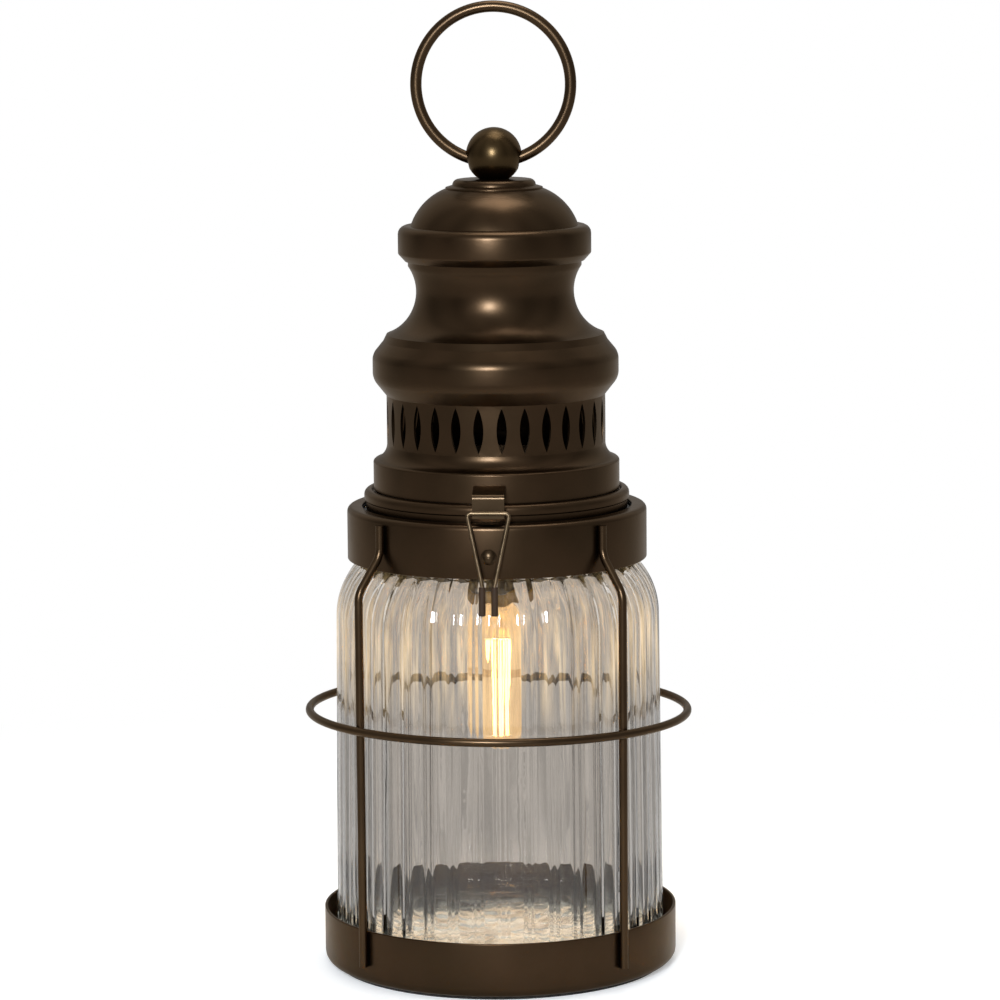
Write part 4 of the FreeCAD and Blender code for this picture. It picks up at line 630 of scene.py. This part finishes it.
def make_jar():
    """Fluted jar of pressed glass with a round shoulder and a straight neck."""
    shapers = [cut_flutes, None, press_inside]      # of the outside, the lip and the inside
    runs = jar_outline()
    bm = bmesh.new()
    run_of = bm.verts.layers.int.new("run")
    draw_outline(bm, [corner for run in runs for corner in run], closed=False)
    run_numbers = [number for number, run in enumerate(runs) for _ in run]
    for vert, number in zip(bm.verts, run_numbers):
        vert[run_of] = number
    spin_round(bm, JAR_STEPS)
    for vert in bm.verts:
        radius = math.hypot(vert.co.x, vert.co.y)
        if radius < FLOOR_EDGE:
            ripple_floor(vert, radius)
        elif shapers[vert[run_of]]:
            angle = math.atan2(vert.co.y, vert.co.x)
            outwards = Vector((vert.co.x, vert.co.y, 0)) / radius
            shapers[vert[run_of]](vert, radius, angle, outwards)
    place(bm, "fluted_jar", JAR_GLASS, "base", "glass_jar", sharp=60.0)


def make_collar():
    """Pressed collar that caps the jar's neck."""
    turned("pressed_collar", [
        (COLLAR_RADIUS, COLLAR_EDGE, HEM),
        (COLLAR_RADIUS, COLLAR_TOP, COLLAR_ROUND),
        (COLLAR_OPENING, COLLAR_TOP, HEM),
        (COLLAR_OPENING, COLLAR_TOP - SHEET, HEM),
        (COLLAR_RADIUS - SHEET, COLLAR_TOP - SHEET, COLLAR_ROUND - SHEET),
        (COLLAR_RADIUS - SHEET, COLLAR_EDGE, HEM),
    ], BRONZE, "base", "collar")


def make_cage():
    """Four bent uprights and the guard hoop."""
    on_collar = COLLAR_RADIUS + WIRE / 2
    on_pan = PAN_RADIUS + WIRE / 2
    top, upper_bend = COLLAR_TOP - 1.8, COLLAR_EDGE + 5.0
    lower_bend, foot = COLLAR_EDGE - 5.2, PAN_BOTTOM + 5.5
    points = rounded_route([(on_collar, top), (on_collar, upper_bend), (on_pan, lower_bend),
                            (on_pan, foot)], CAGE_BEND)
    for corner, angle in (("front_right", -45), ("rear_right", 45), ("rear_left", 135),
                          ("front_left", 225)):
        wire = wire_mesh(points, WIRE, Matrix.Rotation(math.radians(angle), 4, "Z"), sides=24)
        place(wire, f"bent_upright_{corner}", BRONZE_WIRE, "base",
              f"upright_{corner}")
    low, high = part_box("guard_hoop")
    wire_ring("welded_hoop", high.x / MM - WIRE / 2, WIRE,
              (low.z + high.z) / 2 / MM + HOOP_LIFT,
              Matrix.Rotation(HOOP_TILT_X, 4, "X") @ Matrix.Rotation(HOOP_TILT_Y, 4, "Y"),
              "base", "guard_hoop")


# --- chimney ----------------------------------------------------------------------------------

def make_rim_and_drum():
    """Spun rim with a round bead and a skirt, and the drum that flares out to the gallery."""
    skirt = COLLAR_OPENING - 1.2
    bottom = COLLAR_TOP + 1.7
    inside = DRUM_RADIUS - SHEET
    turned("spun_rim", [
        (skirt - SHEET, SKIRT_EDGE, HEM), (skirt, SKIRT_EDGE, HEM), (skirt, bottom),
        (RIM_RADIUS, bottom, 0.5), (RIM_RADIUS, RIM_TOP, 1.65),
        (DRUM_RADIUS + 0.7, RIM_TOP, 0.3), (DRUM_RADIUS + 0.1, RIM_TOP - 0.7),
        (inside, RIM_TOP - 0.7), (inside, RIM_TOP - SHEET),
        (skirt - SHEET, RIM_TOP - 2 * SHEET, 0.4),
    ], BRONZE, "lid", "lid_rim")
    flare = 4.9
    drum_top = GALLERY_BOTTOM - 4.8
    turned("spun_drum", [
        (inside, DRUM_FOOT), (DRUM_RADIUS, DRUM_FOOT), (DRUM_RADIUS, drum_top, 0.5),
        *sweep((DRUM_RADIUS - SHEET / 2, drum_top + SHEET / 2), (GALLERY_RADIUS, GALLERY_BOTTOM),
               flare, RIGHT),
        *sweep((GALLERY_RADIUS - SHEET, GALLERY_BOTTOM), (inside, drum_top - SHEET / 2),
               flare + SHEET, LEFT),
    ], BRONZE, "lid", "lid_drum")


def make_gallery():
    """Pierced band: one bay with its pointed slot is repeated along a flat strip, which is bent
    round and given its thickness."""
    height = GALLERY_TOP - GALLERY_BOTTOM
    bay = math.tau * GALLERY_RADIUS / VENT_SLOTS
    slot_bend = ((SLOT_HEIGHT / 2) ** 2 + (SLOT_WIDTH / 2) ** 2) / SLOT_WIDTH
    bm = bmesh.new()
    slot = bmesh.ops.create_circle(bm, segments=48, radius=SLOT_HEIGHT / 2)["verts"]
    for vert in slot:
        side = math.copysign(1, vert.co.x) if abs(vert.co.x) > 1e-6 else 0
        half = math.sqrt(slot_bend ** 2 - vert.co.y ** 2) - (slot_bend - SLOT_WIDTH / 2)
        vert.co.x = side * half
    bay_edge = bmesh.ops.create_circle(bm, segments=48, radius=1)["verts"]
    for vert in bay_edge:
        reach = max(abs(vert.co.x) / (bay / 2), abs(vert.co.y) / (height / 2))
        vert.co /= reach
    for corner_x in (-1, 1):
        for corner_y in (-1, 1):
            corner = Vector((corner_x * bay / 2, corner_y * height / 2, 0))
            min(bay_edge, key=lambda v: (v.co - corner).length).co = corner
    bmesh.ops.bridge_loops(bm, edges=bm.edges)
    first = bm.verts[:] + bm.edges[:] + bm.faces[:]
    for index in range(1, VENT_SLOTS):
        copy = bmesh.ops.duplicate(bm, geom=first)["geom"]
        bmesh.ops.translate(bm, vec=(bay * index, 0, 0),
                            verts=[item for item in copy if isinstance(item, bmesh.types.BMVert)])
    bmesh.ops.remove_doubles(bm, verts=bm.verts, dist=1e-3)
    middle = (GALLERY_TOP + GALLERY_BOTTOM) / 2
    first_slot = math.radians(-90 + 180 / VENT_SLOTS)
    for vert in bm.verts:
        angle = first_slot + vert.co.x / GALLERY_RADIUS
        vert.co = Vector((math.cos(angle) * GALLERY_RADIUS, math.sin(angle) * GALLERY_RADIUS,
                          middle + vert.co.y))
    bmesh.ops.remove_doubles(bm, verts=bm.verts, dist=1e-3)
    bmesh.ops.recalc_face_normals(bm, faces=bm.faces)
    face = bm.faces[:][0]
    if face.normal.dot(face.calc_center_median()) < 0:
        bmesh.ops.reverse_faces(bm, faces=bm.faces)
    bmesh.ops.solidify(bm, geom=bm.faces, thickness=SHEET)
    place(bm, "pierced_gallery", BRONZE, "lid", "vent_gallery", sharp=35.0)


def make_neck():
    """Bulging neck that sweeps in to the cap's sleeve."""
    bulge_bottom = GALLERY_TOP + 4.9
    bulge_top = bulge_bottom + 6.9
    cone_radius = BULGE_RADIUS - 3.1
    cone_top = bulge_top + 3.8
    cove_radius = cone_radius - 1.0
    cove_foot = cone_top + 2.0
    cove_top = cove_foot + 19.6
    cove = 13.0
    turned("spun_neck", [
        (GALLERY_RADIUS, GALLERY_TOP),
        (BULGE_RADIUS, bulge_bottom, 4.5),
        (BULGE_RADIUS, bulge_top, 4.0),
        (cone_radius, cone_top, 0.5),
        *sweep((cove_radius, cove_foot), (THROAT, cove_top), cove, RIGHT, 20),
        (THROAT, SLEEVE_TOP),
        (THROAT - SHEET, SLEEVE_TOP),
        *sweep((THROAT - SHEET, cove_top), (cove_radius - SHEET, cove_foot - SHEET / 2),
               cove + SHEET, LEFT, 20),
        (cone_radius - SHEET, cone_top - SHEET / 2),
        (BULGE_RADIUS - SHEET, bulge_top - SHEET / 3, 1.0),
        (BULGE_RADIUS - SHEET, bulge_bottom + SHEET / 3, 1.0),
        (GALLERY_RADIUS - SHEET, GALLERY_TOP),
    ], BRONZE, "lid", "chimney_neck")


def make_cap():
    """Pressed cap with a straight band and a dome, and the stepped washer under the ball."""
    band_bottom = CAP_EDGE + 2.2
    band_top = band_bottom + 8.0
    dome_radius = THROAT - 0.9
    dome = 17.1
    turned("pressed_cap", [
        (SCREW_HOLE, DOME_TOP - SHEET),
        *sweep((CUP_RADIUS, DOME_TOP - SHEET), (dome_radius - SHEET, band_top - SHEET),
               dome - SHEET, RIGHT, 14),
        (BAND_RADIUS - SHEET, band_top - SHEET),
        (BAND_RADIUS - SHEET, band_bottom + SHEET / 2),
        (THROAT, CAP_EDGE + SHEET), (THROAT, CAP_EDGE),
        (THROAT + SHEET, CAP_EDGE, 0.3),
        (BAND_RADIUS, band_bottom, 0.8),
        (BAND_RADIUS, band_top, 2.4),
        *sweep((dome_radius, band_top), (CUP_RADIUS, DOME_TOP), dome, LEFT, 20),
        (SCREW_HOLE, DOME_TOP),
    ], BRONZE, "lid", "chimney_cap")
    step_radius = CUP_RADIUS - 2.0
    turned("stepped_washer", [
        (SCREW_HOLE, DOME_TOP), (CUP_RADIUS, DOME_TOP), (CUP_RADIUS, DOME_TOP + 0.4, 0.2),
        (step_radius, DOME_TOP + 1.0), (step_radius, CUP_TOP, 1.7), (SCREW_HOLE, CUP_TOP),
    ], BRONZE, "lid", "finial_cup")


def make_carry_ring():
    """Wire ring that stands up in the ball's bore."""
    low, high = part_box("carry_ring")
    wire_ring("swinging_ring", high.x / MM - CARRY_WIRE / 2, CARRY_WIRE,
              (low.z + high.z) / 2 / MM, Matrix.Rotation(math.radians(90), 4, "X"),
              "carry_ring", "carry_ring")


# --- latch clip -------------------------------------------------------------------------------

def make_hook():
    """Strip that runs from the drum out over the rim and curls under the latch's wire."""
    middle = DRUM_RADIUS + SHEET / 2
    foot = RIM_TOP + 1.5
    shelf = foot + 3.7
    curl = LATCH_WIRE / 2 + 0.05 + SHEET / 2
    back = LATCH_OUT - curl
    points = rounded_route([
        (middle, foot), (middle, shelf), (back + 0.35, shelf - 2.1), (back, LATCH_PIVOT),
        (back, LATCH_PIVOT - curl), (LATCH_OUT + 0.3, LATCH_PIVOT - curl),
    ], 0.9)
    bm = bmesh.new()
    verts = [bm.verts.new(point) for point in points]
    for first, second in zip(verts, verts[1:]):
        bm.edges.new((first, second))
    strip = bmesh.ops.extrude_edge_only(bm, edges=bm.edges)["geom"]
    bmesh.ops.translate(bm, vec=(0, TAB_WIDTH, 0),
                        verts=[item for item in strip if isinstance(item, bmesh.types.BMVert)])
    bmesh.ops.translate(bm, vec=(0, -TAB_WIDTH / 2, 0), verts=bm.verts)
    bmesh.ops.recalc_face_normals(bm, faces=bm.faces)
    for vert in bm.verts:
        vert.co -= vert.normal * SHEET / 2
    bmesh.ops.solidify(bm, geom=bm.faces, thickness=-SHEET)
    bmesh.ops.reverse_faces(bm, faces=bm.faces)     # a negative thickness leaves them facing in
    place(bm, "latch_hook", BRONZE_SMALL, "lid", "latch_tab",
          matrix=Matrix.Rotation(math.radians(-90), 4, "Z"))


def make_latch():
    """Spring-wire loop in the hook, and the grip sleeves on the ends of its legs."""
    length, gap, sleeve, cover = 20.3, 3.5, 8.5, 2.0
    leg_top = TAB_WIDTH / 2 + 0.3 + LATCH_WIRE
    hang = (Matrix.Translation((0, -LATCH_OUT, LATCH_PIVOT))
            @ Matrix.Rotation(-LATCH_LEAN, 4, "X"))
    end = -length - sleeve + cover
    points = rounded_route([(-gap / 2, end), (-gap / 2, -length), (-leg_top, 0), (leg_top, 0),
                            (gap / 2, -length), (gap / 2, end)], 1.0)
    place(wire_mesh(points, LATCH_WIRE, hang, sides=16), "latch_loop", SPRING_WIRE,
          "latch_clip", "latch_wire")
    inner = LATCH_WIRE / 2
    outer = inner + 0.37
    sleeve_top = -length - 0.33
    pair = bmesh.new()
    for side in (-1, 1):
        grip = draw_outline(bmesh.new(), [
            (0, -length - sleeve), (outer, -length - sleeve, 0.3), (outer, sleeve_top, 0.2),
            (inner, sleeve_top), (inner, end), (0, end)], closed=False)
        spin_round(grip, 32)
        bmesh.ops.translate(grip, verts=grip.verts, vec=(side * gap / 2, 0, 0))
        join(pair, grip)
    place(pair, "latch_grips", SLEEVE_RUBBER, "latch_clip", "latch_sleeves",
          matrix=hang)


# --- bulb -------------------------------------------------------------------------------------

def make_bulb():
    """Tubular envelope with a sloped shoulder and a round tip, and four leaning light sticks."""
    inside = BULB_RADIUS - BULB_WALL
    tip_end = BULB_TIP + BULB_RADIUS
    neck = CAP_RADIUS - 0.3
    neck_foot = HOLDER_MOUTH - 1.2
    shoulder = neck_foot - 7.0
    slope = 9.0
    turned("bulb_envelope", [
        *sweep((0, BULB_TIP), (BULB_RADIUS, tip_end), BULB_RADIUS, LEFT, 16),
        *sweep((BULB_RADIUS, shoulder), (neck, neck_foot), slope, LEFT, 12),
        (neck, BULB_END), (neck - BULB_WALL, BULB_END),
        *sweep((neck - BULB_WALL, neck_foot), (inside, shoulder - BULB_WALL / 2),
               slope - BULB_WALL, RIGHT, 12),
        *sweep((inside, tip_end), (0, BULB_TIP + BULB_WALL), inside, RIGHT, 16),
    ], BULB_GLASS, "base", "bulb_glass", closed=False, steps=96, sharp=60.0)
    low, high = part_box("led_filaments")
    ends = [(STICK_FOOT_OUT, 0, low.z / MM), (STICK_HEAD_OUT, 0, high.z / MM)]
    sticks = bmesh.new()
    for quarter in range(4):
        turn = Matrix.Rotation(math.radians(90 * quarter), 4, "Z")
        join(sticks, wire_mesh(ends, STICK_WIRE, turn, sides=16))
    place(sticks, "light_sticks", PHOSPHOR, "base", "led_filaments")


# --- studio -----------------------------------------------------------------------------------

def ray_kinds(tree):
    """Whether the camera, a reflection or light through glass asks, in that order."""
    rays = add(tree, "LightPath").outputs
    return rays["Is Camera Ray"], rays["Is Glossy Ray"], rays["Is Transmission Ray"]


def studio_paper():
    """Pale paper that takes the lamp's shadow and runs out to white. Metal sees it grey and
    glass sees striped panels in it, which give them their lines. A ray through glass counts as
    glossy too, so its value is chosen last."""
    material, tree = new_material("pale_studio_floor")
    position = add(tree, "TexCoord").outputs["Object"]
    camera, glossy, through = ray_kinds(tree)

    panels = add(tree, "MapRange", {"Value": stripes(tree, position, 60), "From Min": -1.0,
                                    "From Max": 0.8, "To Min": 0.48, "To Max": 0.74})
    reflected = add(tree, "Mix", {0: glossy, 2: 1.0, 3: 0.6}, data_type="FLOAT")
    brightness = add(tree, "Mix", {0: through, 2: reflected, 3: panels}, data_type="FLOAT")
    far = add(tree, "Emission", {"Color": (1, 1, 1, 1), "Strength": brightness})

    paper = add(tree, "BsdfDiffuse", {"Color": linear("#E9E7E3")})
    lift = add(tree, "Math", {0: camera, 1: 0.35}, operation="MULTIPLY")
    lifted = add(tree, "Emission", {"Color": (1, 1, 1, 1), "Strength": lift})
    near = add(tree, "AddShader", {0: paper, 1: lifted})

    distance = add(tree, "VectorMath", {0: position}, operation="LENGTH").outputs["Value"]
    away = add(tree, "MapRange", {"Value": distance, "From Min": 0.10, "From Max": 0.40},
               interpolation_type="SMOOTHSTEP")
    white = add(tree, "Math", {0: away, 1: through}, operation="MAXIMUM")
    shown = add(tree, "MixShader", {0: white, 1: near, 2: far})
    straight = add(tree, "Math", {0: camera, 1: glossy}, operation="MAXIMUM")
    seen = add(tree, "Math", {0: straight, 1: through}, operation="MAXIMUM")
    surface = add(tree, "MixShader", {0: seen, 1: paper, 2: shown})
    add(tree, "OutputMaterial", {"Surface": surface})
    return material


def make_floor():
    bm = bmesh.new()
    bmesh.ops.create_circle(bm, cap_ends=True, segments=96, radius=2.5)
    mesh = bpy.data.meshes.new("studio_floor")
    bm.to_mesh(mesh)
    bm.free()
    mesh.materials.append(studio_paper())
    floor = bpy.data.objects.new("studio_floor", mesh)
    scene.collection.objects.link(floor)


def make_surround():
    """White to the camera. Metal sees a grey room with panels, a lighter ceiling and a pale
    board on each side, and glass sees striped panels."""
    world = bpy.data.worlds.new("studio_surround")
    scene.world = world
    world.use_nodes = True
    tree = world.node_tree
    tree.nodes.clear()
    camera, glossy, through = ray_kinds(tree)
    direction = add(tree, "TexCoord").outputs["Generated"]
    height = add(tree, "SeparateXYZ", {0: direction}).outputs["Z"]

    round_once = stripes(tree, direction, 1)
    board_start = add(tree, "MapRange", {"Value": round_once, "From Min": -0.2,
                                         "From Max": -0.5})
    board_end = add(tree, "MapRange", {"Value": round_once, "From Min": -0.97,
                                       "From Max": -0.88})
    boards = add(tree, "Math", {0: board_start, 1: board_end}, operation="MULTIPLY")
    panels = add(tree, "MapRange", {"Value": stripes(tree, direction, 7), "From Min": -1.0,
                                    "From Max": 0.6, "To Min": 0.2, "To Max": 0.4})
    walls = add(tree, "Mix", {0: boards, 2: panels, 3: 0.5}, data_type="FLOAT")
    ceiling = add(tree, "MapRange", {"Value": height, "From Min": 0.2, "From Max": 0.8,
                                     "To Min": 1.0, "To Max": 1.7})
    metal_room = add(tree, "Math", {0: walls, 1: ceiling}, operation="MULTIPLY")
    glass_room = add(tree, "MapRange", {"Value": stripes(tree, direction, 60),
                                        "From Min": -1.0, "From Max": 0.5, "To Min": 0.6,
                                        "To Max": 1.0})

    indirect = add(tree, "Mix", {0: glossy, 2: 0.45, 3: metal_room}, data_type="FLOAT")
    seen = add(tree, "Mix", {0: through, 2: indirect, 3: glass_room}, data_type="FLOAT")
    strength = add(tree, "Mix", {0: camera, 2: seen, 3: 1.0}, data_type="FLOAT")
    back = add(tree, "Background", {"Color": (1, 1, 1, 1), "Strength": strength})
    add(tree, "OutputWorld", {"Surface": back})


def make_softbox(name, azimuth, elevation, distance, size, power, tone):
    """A rectangular lamp that faces the middle of the lantern. Azimuth 0 is the latch's side."""
    lamp = bpy.data.lights.new(name, "AREA")
    lamp.shape = "RECTANGLE"
    lamp.size, lamp.size_y = size
    lamp.energy = power
    lamp.color = linear(tone)[:3]
    holder = bpy.data.objects.new(name, lamp)
    turn, lift = math.radians(azimuth), math.radians(elevation)
    back = Vector((math.sin(turn) * math.cos(lift), -math.cos(turn) * math.cos(lift),
                   math.sin(lift)))
    middle = Vector((0, 0, 0.14))
    holder.location = middle + back * distance
    holder.rotation_euler = (-back).to_track_quat("-Z", "Y").to_euler()
    scene.collection.objects.link(holder)


def make_bulb_glow():
    """The lit bulb's warm light: lamps up its middle that shine on what is round them and, the
    top one, show in reflections, but not straight through the glass nor on the bulb and the
    floor."""
    spared = bpy.data.collections.new("spared_by_bulb_glow")
    for name in ("bulb_envelope", "studio_floor"):
        spared.objects.link(bpy.data.objects[name])
    for item in spared.collection_objects:
        item.light_linking.link_state = "EXCLUDE"
    rises = (10, 20, 30)
    for rise in rises:
        lamp = bpy.data.lights.new("bulb_glow", "POINT")
        lamp.shadow_soft_size = BULB_RADIUS / 2 * MM
        lamp.energy = 0.07
        lamp.use_nodes = True
        tree = lamp.node_tree
        tree.nodes.clear()
        path = add(tree, "LightPath").outputs
        open_air = add(tree, "Math", {0: 1.0, 1: path["Is Transmission Ray"]},
                       operation="SUBTRACT")
        seen = add(tree, "Math", {0: open_air, 1: path["Glossy Depth"]}, operation="ADD",
                   use_clamp=True)
        glow = add(tree, "Emission", {"Color": linear("#FFE2B8"), "Strength": seen})
        add(tree, "OutputLight", {"Surface": glow})
        holder = bpy.data.objects.new("bulb_glow", lamp)
        holder.location = (0, 0, (BULB_TIP + rise) * MM)
        holder.light_linking.receiver_collection = spared
        holder.visible_glossy = rise == rises[-1]
        scene.collection.objects.link(holder)


def make_camera():
    """The photograph's view: a little to the right of the latch and looking slightly down."""
    lens = bpy.data.cameras.new("photo_camera")
    lens.lens = 147.98
    lens.sensor_width = 36.0
    camera = bpy.data.objects.new("photo_camera", lens)
    around = math.radians(3.2)
    aside = math.radians(0.045)
    down, askew = 8.15, 0.5
    distance, height = 1.180, 0.305
    spot = Matrix.Translation((distance * math.sin(around), -distance * math.cos(around), height))
    turn = Matrix.Rotation(around - aside, 4, "Z")
    tilt = Matrix.Rotation(math.radians(90 - down), 4, "X")
    roll = Matrix.Rotation(math.radians(-askew), 4, "Z")
    camera.matrix_world = spot @ turn @ tilt @ roll
    scene.collection.objects.link(camera)
    scene.camera = camera


finish_solids()
make_pan()
make_jar()
make_collar()
make_cage()
make_rim_and_drum()
make_gallery()
make_neck()
make_cap()
make_hook()
make_latch()
make_bulb()
make_carry_ring()

make_floor()
make_surround()
make_softbox("key_softbox", azimuth=-5, elevation=18, distance=1.4, size=(0.2, 0.35), power=22,
             tone="#E4F0FF")
make_softbox("top_softbox", azimuth=150, elevation=82, distance=1.3, size=(0.7, 0.7), power=8,
             tone="#FFFFFF")
make_bulb_glow()
make_camera()

scene.view_settings.view_transform = "Standard"
